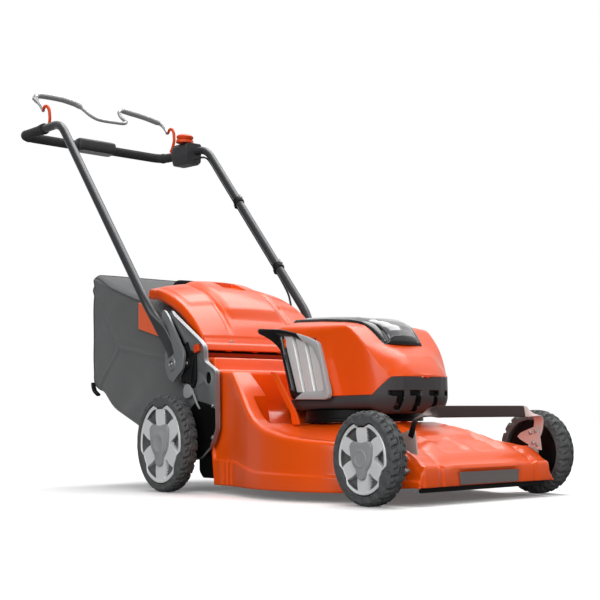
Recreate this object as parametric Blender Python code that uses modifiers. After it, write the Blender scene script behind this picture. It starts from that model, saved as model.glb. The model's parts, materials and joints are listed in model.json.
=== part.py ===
"""Cordless lawn mower: steel deck, battery motor, grass bag and a folding push handle.

The mower stands on the ground at z = 0 and faces -Y. Its own right side is -X. Stations are
distances behind the front axle, and the origin is the middle of the footprint.
"""
import math

import bmesh
import bpy
from mathutils import Matrix, Vector

# Driving dimensions, in metres
GAP = 0.0003
FRONT_AXLE_Y = -0.7855
WHEEL_BASE = 0.737
FRONT_WHEEL_R, REAR_WHEEL_R = 0.090, 0.1185
WHEEL_W = 0.042
FRONT_TRACK, REAR_TRACK = 0.486, 0.503
FRONT_RIM_R, REAR_RIM_R = 0.068, 0.096
LUGS_FRONT, LUGS_REAR = 20, 24
LUG_DEPTH = 0.005

DECK_BOTTOM = 0.020
DECK_WALL = 0.0025
BLADE_STATION = 0.285
BLADE_R = 0.215
BLADE_Z = 0.042
BLADE_T = 0.003
MOTOR_RING_R = 0.122
MOTOR_TOP = 0.187

CRANK_ARM = 0.055
CRANK_HALF_SWING = math.radians(27)
CRANK_ROD_R = 0.006

HANDLE_X = 0.260
TUBE_R = 0.0125
PIVOT_STATION, PIVOT_Z = 0.746, 0.313
KNEE_STATION, KNEE_Z = 0.815, 0.464
BEND_STATION, BEND_Z = 1.345, 1.073
BAR_STATION, BAR_Z = 1.632, 1.100
BAR_R = 0.0165
BAIL_STATION, BAIL_Z = 1.517, 1.095

HINGE_STATION, HINGE_Z = 0.655, 0.3455
FLAP_HALF = 0.190
BAG_HALF = 0.200
HOUSING_HALF = 0.140
LID_HINGE_STATION, LID_HINGE_Z = 0.432, 0.404

ORANGE = ("orange", (0.80, 0.115, 0.02), 0.35, 0.0)
DARK_GREY = ("dark_grey", (0.055, 0.055, 0.058), 0.55, 0.0)
BLACK = ("black", (0.012, 0.012, 0.013), 0.5, 0.0)
TYRE = ("tyre", (0.05, 0.05, 0.052), 0.8, 0.0)
SILVER = ("silver", (0.55, 0.56, 0.57), 0.35, 0.6)
CAP_GREY = ("cap_grey", (0.16, 0.16, 0.165), 0.5, 0.0)
FABRIC = ("fabric", (0.07, 0.07, 0.072), 0.95, 0.0)
STEEL = ("steel", (0.32, 0.32, 0.33), 0.4, 1.0)
GREY_TUBE = ("grey_tube", (0.14, 0.14, 0.145), 0.4, 0.8)
BRONZE = ("bronze", (0.30, 0.21, 0.17), 0.35, 0.9)
LIGHT_GREY = ("light_grey", (0.42, 0.43, 0.44), 0.5, 0.0)
SMOKE = ("smoke", (0.10, 0.10, 0.105), 0.12, 0.0)
GREEN = ("board_green", (0.02, 0.16, 0.06), 0.5, 0.0)
COPPER = ("copper", (0.55, 0.23, 0.10), 0.4, 1.0)

RIGHT, LEFT = -1, 1
SIDES = ((RIGHT, "r"), (LEFT, "l"))


def station(y):
    """World Y of a station behind the front axle."""
    return y + FRONT_AXLE_Y


def at(x, y, z):
    """World point at a station."""
    return Vector((x, station(y), z))


def clear_scene():
    """Removes every object of the startup scene."""
    for obj in list(bpy.data.objects):
        bpy.data.objects.remove(obj, do_unlink=True)


clear_scene()
PARTS = bpy.data.collections.new("lawn_mower")
CUTTERS = bpy.data.collections.new("cutters")
bpy.context.scene.collection.children.link(PARTS)
bpy.context.scene.collection.children.link(CUTTERS)


def material(spec, owner):
    """A Principled material of one piece."""
    name, colour, roughness, metallic = spec
    made = bpy.data.materials.new(f"{owner}_{name}")
    made.use_nodes = True
    shader = made.node_tree.nodes["Principled BSDF"]
    shader.inputs["Base Color"].default_value = (*colour, 1.0)
    shader.inputs["Roughness"].default_value = roughness
    shader.inputs["Metallic"].default_value = metallic
    made.diffuse_color = (*colour, 1.0)
    return made


def adopt(obj, spec, collection=None, smooth=True):
    """Puts an object in its collection with its own material."""
    for old in list(obj.users_collection):
        old.objects.unlink(obj)
    (collection or PARTS).objects.link(obj)
    if collection is CUTTERS:
        obj.hide_render = True
        obj.display_type = "WIRE"
        return obj
    obj.data.materials.clear()
    obj.data.materials.append(material(spec, obj.name))
    if smooth and obj.type == "MESH":
        obj.data.shade_smooth()
        obj.data.set_sharp_from_angle(angle=math.radians(35))
    return obj


def mesh_object(name, mesh, spec, collection=None):
    """A new object round a finished mesh."""
    obj = bpy.data.objects.new(name, mesh)
    bpy.context.scene.collection.objects.link(obj)
    return adopt(obj, spec, collection)


def from_bmesh(name, shape, spec, collection=None):
    """A new object from a bmesh, which is freed."""
    bmesh.ops.recalc_face_normals(shape, faces=shape.faces)
    mesh = bpy.data.meshes.new(name)
    shape.to_mesh(mesh)
    shape.free()
    return mesh_object(name, mesh, spec, collection)


def box(name, size, centre, spec, turn=None, collection=None, bevel=0.0):
    """A box from a cube primitive, turned about its centre."""
    shape = bmesh.new()
    bmesh.ops.create_cube(shape, size=1.0)
    bmesh.ops.scale(shape, vec=Vector(size), verts=shape.verts)
    obj = from_bmesh(name, shape, spec, collection)
    obj.matrix_world = Matrix.Translation(centre) @ (turn or Matrix.Identity(4))
    if bevel:
        add_bevel(obj, bevel)
    return obj


def add_bevel(obj, width, segments=1, angle=40):
    """Rounds the edges sharper than the angle."""
    rounding = obj.modifiers.new("rounding", "BEVEL")
    rounding.width = width
    rounding.segments = segments
    rounding.limit_method = "ANGLE"
    rounding.angle_limit = math.radians(angle)
    return rounding


TURN_TO_X = Matrix.Rotation(math.pi / 2, 4, "Y")
TURN_TO_Y = Matrix.Rotation(-math.pi / 2, 4, "X")
UPRIGHT = Matrix.Identity(4)


def rod(name, radius, length, centre, spec, turn=UPRIGHT, sides=16, collection=None, tip=None):
    """A cylinder or cone whose own axis is Z before the turn."""
    shape = bmesh.new()
    bmesh.ops.create_cone(shape, cap_ends=True, segments=sides, radius1=radius,
                          radius2=radius if tip is None else tip, depth=length)
    obj = from_bmesh(name, shape, spec, collection)
    obj.matrix_world = Matrix.Translation(centre) @ turn
    return obj


def turned(name, profile, centre, spec, turn=UPRIGHT, steps=24, collection=None):
    """A closed profile of (radius, height) points, listed down its outer side, spun about its own Z."""
    mesh = bpy.data.meshes.new(name)
    count = len(profile)
    edges = [(i, (i + 1) % count) for i in range(count)]
    open_ends = profile[0][0] == 0 and profile[-1][0] == 0
    if open_ends:
        edges.pop()
    mesh.from_pydata([(r, 0.0, h) for r, h in profile], edges, [])
    obj = bpy.data.objects.new(name, mesh)
    bpy.context.scene.collection.objects.link(obj)
    screw = obj.modifiers.new("turning", "SCREW")
    screw.axis = "Z"
    screw.steps = steps
    screw.render_steps = steps
    screw.use_merge_vertices = True
    screw.merge_threshold = 0.00001
    obj.matrix_world = Matrix.Translation(centre) @ turn
    return settle(obj, spec, collection)


def settle(obj, spec, collection=None, weld=0.000001):
    """Replaces an object by the plain mesh that its modifiers make, welded and facing out."""
    bpy.context.view_layer.update()
    graph = bpy.context.evaluated_depsgraph_get()
    mesh = bpy.data.meshes.new_from_object(obj.evaluated_get(graph))
    shape = bmesh.new()
    shape.from_mesh(mesh)
    bmesh.ops.remove_doubles(shape, verts=shape.verts, dist=weld)
    bmesh.ops.recalc_face_normals(shape, faces=shape.faces)
    shape.to_mesh(mesh)
    shape.free()
    name, matrix = obj.name, obj.matrix_world.copy()
    bpy.data.objects.remove(obj, do_unlink=True)
    mesh.name = name
    made = mesh_object(name, mesh, spec, collection)
    made.matrix_world = matrix
    return made


def smooth_path(points, per_span=4):
    """Points read from a smooth curve through the route's own points."""
    route = [Vector(p) for p in points]
    ends = [2 * route[0] - route[1]] + route + [2 * route[-1] - route[-2]]
    out = []
    for i in range(1, len(ends) - 2):
        a, b, c, d = ends[i - 1:i + 3]
        for k in range(per_span):
            t = k / per_span
            out.append(0.5 * (2 * b + (c - a) * t + (2 * a - 5 * b + 4 * c - d) * t ** 2
                              + (3 * b - a - 3 * c + d) * t ** 3))
    return out + [route[-1]]


def rounded_path(corners, radius, steps=4):
    """A path through corner points, each corner turned as an arc-like bend."""
    out = [Vector(corners[0])]
    for before, corner, after in zip(corners, corners[1:], corners[2:]):
        before, corner, after = Vector(before), Vector(corner), Vector(after)
        into, away = (before - corner), (after - corner)
        reach = min(radius, into.length * 0.45, away.length * 0.45)
        start = corner + into.normalized() * reach
        end = corner + away.normalized() * reach
        for k in range(steps + 1):
            t = k / steps
            out.append((1 - t) ** 2 * start + 2 * t * (1 - t) * corner + t ** 2 * end)
    return out + [Vector(corners[-1])]


def tube(name, path, radius, spec, sides=2, collection=None, radii=None):
    """A round bar along a path, with filled ends. Sides is the bevel resolution."""
    curve = bpy.data.curves.new(name, "CURVE")
    curve.dimensions = "3D"
    curve.bevel_depth = radius
    curve.bevel_resolution = sides
    curve.use_fill_caps = True
    line = curve.splines.new("POLY")
    line.points.add(len(path) - 1)
    for i, point in enumerate(path):
        line.points[i].co = (*point, 1.0)
        line.points[i].radius = 1.0 if radii is None else radii[i]
    obj = bpy.data.objects.new(name, curve)
    bpy.context.scene.collection.objects.link(obj)
    return settle(obj, spec, collection)


SIDE_PLANE = Matrix(((0, 0, 1, 0), (1, 0, 0, 0), (0, 1, 0, 0), (0, 0, 0, 1)))
FRONT_PLANE = Matrix(((1, 0, 0, 0), (0, 0, -1, 0), (0, 1, 0, 0), (0, 0, 0, 1)))


def plate(name, outlines, thickness, centre, spec, plane=SIDE_PLANE, collection=None, bevel=0.0):
    """A flat plate from 2D outlines, the first the edge and the rest its holes. On the side plane the
    outline's own x and y are the world's Y and Z."""
    curve = bpy.data.curves.new(name, "CURVE")
    curve.dimensions = "2D"
    curve.fill_mode = "BOTH"
    curve.extrude = thickness / 2
    for outline in outlines:
        line = curve.splines.new("POLY")
        line.use_cyclic_u = True
        line.points.add(len(outline) - 1)
        for i, (u, v) in enumerate(outline):
            line.points[i].co = (u, v, 0.0, 1.0)
    obj = bpy.data.objects.new(name, curve)
    bpy.context.scene.collection.objects.link(obj)
    obj.matrix_world = Matrix.Translation(centre) @ plane
    made = settle(obj, spec, collection)
    if bevel:
        add_bevel(made, bevel)
    return made


def ring(radius, count, centre=(0.0, 0.0), start=0.0):
    """Outline points on a circle."""
    return [(centre[0] + radius * math.cos(start + 2 * math.pi * i / count),
             centre[1] + radius * math.sin(start + 2 * math.pi * i / count)) for i in range(count)]


def combine(obj, other, operation="DIFFERENCE"):
    """Cuts, joins or crosses an object with a helper, and hides the helper with the cutters."""
    step = obj.modifiers.new(f"{operation.lower()}_{other.name}", "BOOLEAN")
    step.operation = operation
    step.solver = "EXACT"
    step.object = other
    if other.name not in CUTTERS.objects:
        for old in list(other.users_collection):
            old.objects.unlink(other)
        CUTTERS.objects.link(other)
    other.hide_render = True
    other.display_type = "WIRE"
    return obj


def lofted(name, sections, spec, thickness=0.0, closed=False, offset=-1.0, collection=None):
    """A sheet or solid through cross sections of equal point counts. An open sheet gets its
    thickness on the inner side, and a closed one gets flat ends."""
    shape = bmesh.new()
    rows = [[shape.verts.new(p) for p in section] for section in sections]
    count = len(rows[0])
    spans = count if closed else count - 1
    for lower, upper in zip(rows, rows[1:]):
        for i in range(spans):
            j = (i + 1) % count
            shape.faces.new((lower[i], lower[j], upper[j], upper[i]))
    if closed:
        shape.faces.new(rows[0])
        shape.faces.new(list(reversed(rows[-1])))
        bmesh.ops.recalc_face_normals(shape, faces=shape.faces)
    mesh = bpy.data.meshes.new(name)
    shape.to_mesh(mesh)
    shape.free()
    obj = mesh_object(name, mesh, spec, collection)
    if thickness:
        wall = obj.modifiers.new("wall", "SOLIDIFY")
        wall.thickness = thickness
        wall.offset = offset
        wall.use_even_offset = True
    return obj


def interpolate(table, y):
    """Linear reading of a short table of (station, value) pairs."""
    if y <= table[0][0]:
        return table[0][1]
    for (y0, v0), (y1, v1) in zip(table, table[1:]):
        if y <= y1:
            return v0 + (v1 - v0) * (y - y0) / (y1 - y0)
    return table[-1][1]


def empty(name, location):
    """A parent empty on a joint's axis."""
    made = bpy.data.objects.new(name, None)
    made.location = location
    made.empty_display_size = 0.02
    PARTS.objects.link(made)
    return made


def hang(parent, *children):
    """Parents pieces to an empty, keeping them where they are."""
    bpy.context.view_layer.update()
    for child in children:
        child.parent = parent
        child.matrix_parent_inverse = parent.matrix_world.inverted()


# Deck, from tables of (station, value)
DECK_HALF = ((-0.080, 0.190), (-0.02, 0.203), (0.06, 0.209), (0.09, 0.213), (0.14, 0.239), (0.20, 0.256),
             (0.27, 0.262), (0.34, 0.258), (0.41, 0.244), (0.47, 0.226), (0.53, 0.211), (0.60, 0.203),
             (0.65, 0.200))
DECK_LEDGE = ((-0.076, 0.062), (-0.062, 0.083), (-0.03, 0.101), (0.03, 0.111), (0.11, 0.119), (0.20, 0.127),
              (0.27, 0.136), (0.34, 0.151), (0.385, 0.169), (0.42, 0.193), (0.455, 0.224), (0.49, 0.257),
              (0.52, 0.283), (0.60, 0.290), (0.612, 0.333), (0.65, 0.338))
DECK_CROWN = ((-0.076, 0.062), (-0.062, 0.085), (-0.03, 0.110), (0.03, 0.134), (0.10, 0.153), (0.15, 0.160),
              (0.455, 0.160), (0.50, 0.192), (0.53, 0.283), (0.60, 0.290), (0.612, 0.333), (0.65, 0.338))
DECK_HEM = ((-0.076, 0.034), (0.02, 0.030), (0.09, DECK_BOTTOM), (0.60, DECK_BOTTOM), (0.612, 0.110),
            (0.65, 0.125))
DECK_STATIONS = (-0.076, -0.062, -0.03, 0.03, 0.09, 0.14, 0.20, 0.27, 0.34, 0.385, 0.42, 0.455, 0.49, 0.515,
                 0.53, 0.56, 0.60, 0.612, 0.65)
DECK_FRONT = -0.080


def deck_section(y, flat_at=None):
    """One arch of the deck from the right hem to the left, or the front lip when flat_at is given."""
    half = interpolate(DECK_HALF, y)
    hem, ledge, crown = (interpolate(t, y) for t in (DECK_HEM, DECK_LEDGE, DECK_CROWN))
    low = hem + 0.35 * (ledge - hem)
    profile = [(half, hem), (half - 0.001, low), (half - 0.005, ledge - 0.008), (half - 0.013, ledge),
               (half - 0.035, ledge + 0.1 * (crown - ledge)), (half * 0.66, ledge + 0.9 * (crown - ledge)),
               (half * 0.55, crown), (half * 0.25, crown)]
    if flat_at is not None:
        profile = [(x, flat_at) for x, _ in profile]
        y = DECK_FRONT
    right = [at(-x, y, z) for x, z in profile]
    left = [at(x, y, z) for x, z in reversed(profile)]
    return right + left


def make_deck():
    """The pressed steel deck: an open-bottomed shell with the discharge mouth at its rear."""
    hem = interpolate(DECK_HEM, DECK_FRONT)
    sections = [deck_section(DECK_STATIONS[0], flat_at=hem)] + [deck_section(y) for y in DECK_STATIONS]
    deck = lofted("deck", sections, ORANGE, DECK_WALL)
    shaft_hole = rod("deck_shaft_hole", 0.030, 0.08, at(0, BLADE_STATION, 0.160), ORANGE, sides=24,
                     collection=CUTTERS)
    crank_y, crank_z = crank_pivot(0.0, FRONT_WHEEL_R, -1)
    rod_hole = rod("deck_rod_hole", 0.0085, 0.6, at(0, crank_y, crank_z), ORANGE, TURN_TO_X, 12, CUTTERS)
    combine(deck, shaft_hole)
    combine(deck, rod_hole)


def crank_pivot(wheel_station, wheel_r, towards):
    """Where a cranked axle turns: level travel of the wheel between both ends of the swing."""
    reach = CRANK_ARM * math.cos(CRANK_HALF_SWING)
    drop = CRANK_ARM * math.sin(CRANK_HALF_SWING)
    return wheel_station + towards * reach, wheel_r - drop


def make_bumper():
    """The dark rubbing plate let into the front lip."""
    outline = [(-0.083, 0.036), (0.083, 0.036), (0.086, 0.060), (-0.086, 0.060)]
    plate("bumper_plate", [outline], 0.0035, at(0, DECK_FRONT - 0.0023, 0), DARK_GREY, FRONT_PLANE,
                 bevel=0.0008)


CARRY_HALF = 0.185
CARRY_STATION, CARRY_TOP = -0.045, 0.180


def make_carry_handle():
    """The flat lifting bar across the front, bent down at both ends, on two three-cornered feet."""
    half, top, strip = CARRY_HALF, CARRY_TOP, 0.0035
    outer = [(-half, 0.128), (-half, 0.146), (-half + 0.012, top - 0.008), (-half + 0.030, top),
             (half - 0.030, top), (half - 0.012, top - 0.008), (half, 0.146), (half, 0.128)]
    inner = [(x * (1 - strip / half), z - (strip if z > 0.15 else 0.0)) for x, z in reversed(outer)]
    plate("carry_handle", [outer + inner], 0.026, at(0, CARRY_STATION, 0), BRONZE, FRONT_PLANE)
    for side, tag in SIDES:
        outline = [(-0.066, 0.095), (-0.048, 0.099), (-0.010, 0.118), (-0.004, 0.124), (-0.012, 0.131),
                   (-0.050, 0.144), (-0.062, 0.138)]
        inboard = side * (half - strip - 0.0006 - 0.0015)
        plate(f"carry_foot_{tag}", [outline], 0.003, at(inboard, 0.0, 0.0), BRONZE)


# Battery housing, from tables of (station, value)
COVER_HALF = ((0.084, 0.045), (0.088, 0.068), (0.100, 0.090), (0.125, 0.101), (0.155, 0.108), (0.19, 0.116),
              (0.25, 0.130), (0.33, 0.139), (0.42, 0.142), (0.47, 0.139), (0.495, 0.128))
COVER_TOP = ((0.084, 0.256), (0.088, 0.264), (0.100, 0.281), (0.125, 0.303), (0.155, 0.324), (0.19, 0.350),
             (0.25, 0.374), (0.33, 0.390), (0.42, 0.397), (0.47, 0.394), (0.495, 0.380))
COVER_HEM = ((0.084, 0.2512), (0.125, 0.2512), (0.16, 0.2212), (0.495, 0.2212))
COVER_STATIONS = (0.084, 0.088, 0.100, 0.125, 0.155, 0.19, 0.25, 0.33, 0.42, 0.47, 0.495)
COVER_FRONT, COVER_REAR = 0.0825, 0.499


def cover_section(y, flat_at=None, place=None):
    """One arch of the housing cover from the right hem to the left."""
    half, top, hem = (interpolate(t, y) for t in (COVER_HALF, COVER_TOP, COVER_HEM))
    rise = top - hem
    profile = [(half, hem), (half, hem + 0.30 * rise), (half * 0.965, hem + 0.66 * rise),
               (half * 0.88, hem + 0.88 * rise), (half * 0.72, hem + 0.975 * rise), (half * 0.50, top),
               (half * 0.20, top)]
    if flat_at is not None:
        profile = [(x * 0.96, flat_at) for x, _ in profile]
        y = place
    return [at(-x, y, z) for x, z in profile] + [at(x, y, z) for x, z in reversed(profile)]


LID_HALF = 0.064
LID_FRONT, LID_REAR = 0.158, LID_HINGE_STATION
BAY_HALF, BAY_FRONT, BAY_REAR = 0.054, 0.205, 0.415


def over_cover(rise, front, rear):
    """Outline points above the cover's top line, from front to rear."""
    ys = [front] + [y for y in COVER_STATIONS if front < y < rear] + [rear]
    return [(y, interpolate(COVER_TOP, y) + rise) for y in ys]


def make_housing():
    """Skirt, cover, frame, lid, grilles and what they hold."""
    floor, wall_top = 0.1885, 0.2200
    rings = [(floor, 0.130, 0.455, 0.112), (0.200, 0.098, 0.478, 0.131), (0.212, 0.087, 0.492, 0.138),
             (wall_top, 0.084, 0.496, 0.1405)]
    skirt = lofted("housing_skirt", [skirt_ring(*values) for values in rings], DARK_GREY, closed=True)
    chin_rings = [(0.2145, 0.0842, 0.162, 0.110), (wall_top + GAP, 0.0842, 0.158, 0.110),
                  (0.250, 0.0835, 0.124, 0.100)]
    chin = lofted("skirt_chin", [chin_ring(*values) for values in chin_rings], DARK_GREY, closed=True,
                  collection=CUTTERS)
    combine(skirt, chin, "UNION")
    hollow = [(floor + 0.003, 0.140, 0.445, 0.106), (0.203, 0.105, 0.470, 0.126), (0.260, 0.094, 0.488, 0.136)]
    combine(skirt, lofted("skirt_hollow", [skirt_ring(*values) for values in hollow], DARK_GREY, closed=True,
                          collection=CUTTERS))
    combine(skirt, rod("skirt_shaft_hole", 0.014, 0.02, at(0, BLADE_STATION, floor), DARK_GREY, sides=16,
                       collection=CUTTERS))
    cover = lofted("housing_cover", [cover_section(COVER_STATIONS[0], 0.2512, COVER_FRONT)]
                   + [cover_section(y) for y in COVER_STATIONS]
                   + [cover_section(COVER_STATIONS[-1], 0.2212, COVER_REAR)], ORANGE, 0.0025)
    combine(cover, box("bay_cut", (2 * BAY_HALF, BAY_REAR - BAY_FRONT, 0.12),
                       at(0, (BAY_FRONT + BAY_REAR) / 2, 0.385), ORANGE, collection=CUTTERS))
    frame = plate("lid_frame", [over_cover(0.0008, LID_FRONT, LID_REAR + 0.004)
                                + over_cover(0.0070, LID_FRONT, LID_REAR + 0.004)[::-1]],
                  2 * (LID_HALF + 0.006), at(0, 0, 0), DARK_GREY)
    combine(frame, box("frame_cut", (2 * BAY_HALF, BAY_REAR - BAY_FRONT, 0.12),
                       at(0, (BAY_FRONT + BAY_REAR) / 2, 0.385), DARK_GREY, collection=CUTTERS))
    lid = plate("battery_lid", [over_cover(0.0078, LID_FRONT - 0.002, LID_REAR)
                                + over_cover(0.0150, LID_FRONT + 0.006, LID_REAR)[::-1]],
                2 * LID_HALF, at(0, 0, 0), SMOKE, bevel=0.002)
    return cover, lid


def skirt_ring(z, front, rear, half, count=28):
    """A rounded plan outline, narrower at the front, at one height."""
    middle, reach = (front + rear) / 2, (rear - front) / 2
    points = []
    for i in range(count):
        turn = 2 * math.pi * (i + 0.5) / count
        along = math.copysign(abs(math.cos(turn)) ** 0.55, -math.cos(turn))
        across = math.copysign(abs(math.sin(turn)) ** 0.55, math.sin(turn))
        narrowing = 1.0 - 0.26 * max(0.0, -along) ** 1.6
        points.append(at(half * across * narrowing, middle + reach * along, z))
    return points


def chin_ring(z, front, rear, half, count=12):
    """The front arc of the skirt and a straight back, at one height."""
    arc = [math.pi * i / (count - 1) for i in range(count)]
    return [at(-half * math.cos(a), rear - (rear - front) * math.sin(a) ** 0.6, z) for a in arc]


GRILLE_OUTLINE = ((0.236, 0.2225), (0.372, 0.2225), (0.396, 0.335), (0.418, 0.360), (0.498, 0.381),
                  (0.496, 0.388), (0.400, 0.372), (0.330, 0.362), (0.288, 0.345), (0.268, 0.322))
GRILLE_SLOTS = 4
GRILLE_T = 0.004


def grille_slot(index):
    """One leaning slot between two louvres."""
    low = 0.252 + 0.0285 * index
    high = 0.286 + 0.0275 * index
    top = (0.334, 0.345, 0.350, 0.352)[index]
    return [(low, 0.234), (low + 0.020, 0.234), (high + 0.020, top), (high, top)]


def make_grilles(cover):
    """The cooling grilles, one let into each side of the cover."""
    for side, tag in SIDES:
        lean = Matrix.Rotation(side * math.radians(-4), 4, "Y") @ Matrix.Rotation(side * math.radians(-3), 4, "Z")
        place = at(side * 0.1405, 0.33, 0.29)
        shift = Matrix.Translation((-0.33, -0.29, 0))
        middle = [(y - 0.33, z - 0.29) for y, z in GRILLE_OUTLINE]
        holes = [[(y - 0.33, z - 0.29) for y, z in grille_slot(i)] for i in range(GRILLE_SLOTS)]
        plate(f"grille_{tag}", [middle] + holes, GRILLE_T, place, CAP_GREY, lean @ SIDE_PLANE)
        inset = [(y * 1.006, z * 1.008) for y, z in middle]
        cutter = plate(f"grille_cut_{tag}", [inset], 0.030, place, ORANGE, lean @ SIDE_PLANE, CUTTERS)
        combine(cover, cutter)


def make_motor():
    """Fixed motor housing and windings, and the turning shaft, hub and blade."""
    low = 0.1606
    turned("motor_base", [(0.060, MOTOR_TOP), (MOTOR_RING_R - 0.006, MOTOR_TOP),
                          (MOTOR_RING_R, MOTOR_TOP - 0.008), (MOTOR_RING_R - 0.003, low), (0.060, low)],
           at(0, BLADE_STATION, 0), BLACK, steps=32)
    turned("motor_stator", [(0.036, 0.185), (0.0594, 0.185), (0.0594, 0.162), (0.036, 0.162)],
           at(0, BLADE_STATION, 0), COPPER)
    shaft = turned("rotor_shaft", [(0.0, 0.1865), (0.010, 0.1865), (0.010, 0.184), (0.0345, 0.184),
                                   (0.0345, 0.163), (0.009, 0.163), (0.009, 0.060), (0.034, 0.058),
                                   (0.034, BLADE_Z + BLADE_T / 2 + GAP), (0.0, BLADE_Z + BLADE_T / 2 + GAP)],
                   at(0, BLADE_STATION, 0), STEEL)
    half, chord = BLADE_R, 0.025
    outline = [(-half, -chord), (half * 0.82, -chord), (half, -chord * 0.55), (half, chord),
               (-half * 0.82, chord), (-half, chord * 0.55)]
    blade = plate("blade", [outline], BLADE_T, at(0, BLADE_STATION, BLADE_Z), STEEL, UPRIGHT)
    for end in (-1, 1):
        sail = box(f"blade_sail_{end + 1}", (0.045, 0.014, BLADE_T),
                   at(end * half * 0.86, BLADE_STATION + end * chord * 0.9, BLADE_Z + 0.0035), STEEL,
                   Matrix.Rotation(end * math.radians(28), 4, "X"), CUTTERS)
        combine(blade, sail, "UNION")
    bolt = rod("blade_bolt", 0.010, 0.009, at(0, BLADE_STATION, BLADE_Z - BLADE_T / 2 - GAP - 0.0045), STEEL,
               sides=6)
    return shaft, blade, bolt


def make_battery():
    """Battery pack, its tray and the control board behind it."""
    width, length, height = 0.084, 0.150, 0.080
    centre = at(0, 0.315, 0.292)
    battery = box("battery", (width, length, height), centre, BLACK, bevel=0.004)
    tray = box("battery_tray", (width + 0.014, length + 0.014, 0.060), centre - Vector((0, 0, 0.0235)), DARK_GREY)
    combine(tray, box("tray_cut", (width + 0.003, length + 0.003, 0.080), centre - Vector((0, 0, 0.0005)),
                      DARK_GREY, collection=CUTTERS))
    box("control_board", (0.10, 0.003, 0.060), at(0, 0.435, 0.262), GREEN)
    return battery


FLAP_LINE = ((0.655, 0.3565), (0.690, 0.400), (0.733, 0.447), (0.790, 0.486), (0.850, 0.510), (0.915, 0.526))
PIN_R = 0.003
KNUCKLES = (-0.12, -0.04, 0.04, 0.12)
SPRING_R, SPRING_WIRE_R = 0.0045, 0.0008
SPRING_X, SPRING_TURNS, SPRING_PITCH = 0.150, 7, 0.0026
SPRING_POINTS = 9
FLAP_CROWN = ((0.655, 0.0), (0.70, 0.006), (0.80, 0.016), (0.915, 0.022))


def make_flap():
    """The discharge flap over the bag's mouth, turning on a pin between the brackets, with its spring."""
    sections = []
    for y, z in FLAP_LINE:
        half = FLAP_HALF + 0.008 * (y - 0.655) / 0.26
        crown = interpolate(FLAP_CROWN, y)
        drop = 0.018 * min(1.0, 0.15 + (y - 0.655) / 0.06)
        profile = [(half, z - drop), (half - 0.001, z - 0.004), (half - 0.006, z), (half * 0.7, z + 0.7 * crown),
                   (half * 0.3, z + crown)]
        sections.append([at(-x, y, h) for x, h in profile] + [at(x, y, h) for x, h in reversed(profile)])
    flap = lofted("rear_flap", sections, ORANGE, 0.003)
    axis = at(0, HINGE_STATION, HINGE_Z)
    for i, x in enumerate(KNUCKLES):
        knuckle = box(f"flap_knuckle_{i}", (0.014, 0.010, 0.0155), axis + Vector((x, 0, 0.00225)), ORANGE,
                      collection=CUTTERS)
        combine(flap, knuckle, "UNION")
    combine(flap, rod("flap_pin_hole", PIN_R + 0.0004, 2 * FLAP_HALF, axis, ORANGE, TURN_TO_X, 12, CUTTERS))
    rod("flap_pin", PIN_R, 2 * (BRACKET_X - BRACKET_T / 2 - GAP), axis, STEEL, TURN_TO_X, 10)
    coil = []
    for i in range(SPRING_TURNS * SPRING_POINTS + 1):
        turn = 2 * math.pi * i / SPRING_POINTS
        coil.append(axis + Vector((SPRING_X + SPRING_PITCH * i / SPRING_POINTS, SPRING_R * math.cos(turn),
                                   SPRING_R * math.sin(turn))))
    tube("flap_spring", coil, SPRING_WIRE_R, STEEL, sides=1)
    print(f"flap spring, least gap to itself: {1000 * least_gap(coil, SPRING_WIRE_R, SPRING_POINTS // 2):.2f} mm")
    return flap


def least_gap(points, wire_r, apart):
    """Least clearance of a wound wire to itself, between points at least so many steps apart on it."""
    nearest = min((points[i] - points[j]).length
                  for i in range(len(points)) for j in range(i + apart, len(points)))
    return nearest - 2 * wire_r


BAG_BOTTOM = ((0.700, 0.160), (0.80, 0.146), (0.94, 0.137), (0.97, 0.139), (1.131, 0.200), (1.185, 0.243),
              (1.232, 0.264))
BAG_EDGE = ((0.700, 0.328), (0.80, 0.415), (0.90, 0.474), (0.94, 0.492), (1.131, 0.556), (1.232, 0.598))
BAG_TOP = ((0.700, 0.336), (0.80, 0.432), (0.90, 0.506), (0.94, 0.530), (1.131, 0.583), (1.232, 0.602))
BAG_FRONT, BAG_REAR, BAG_WALL = 0.700, 1.232, 0.0025
BAG_STATIONS = (BAG_FRONT, 0.75, 0.80, 0.85, 0.90, 0.94, 0.98, 1.04, 1.10, 1.14, 1.185, BAG_REAR)
BAG_GRIP_STATION = 1.02


def bag_section(y, shrink=0.0):
    """One closed ring of the bag: flat bottom, upright sides and a sloping roof."""
    bottom, edge, top = (interpolate(t, y) for t in (BAG_BOTTOM, BAG_EDGE, BAG_TOP))
    half = BAG_HALF - shrink
    right = [(0.0, bottom + shrink), (half * 0.85, bottom + shrink), (half, bottom + 0.020), (half, edge - 0.02),
             (half - 0.004, edge), (half * 0.62, top - shrink), (half * 0.2, top - shrink)]
    left = [(-x, z) for x, z in reversed(right[1:])]
    return [at(-x, y, z) for x, z in right + left]


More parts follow.
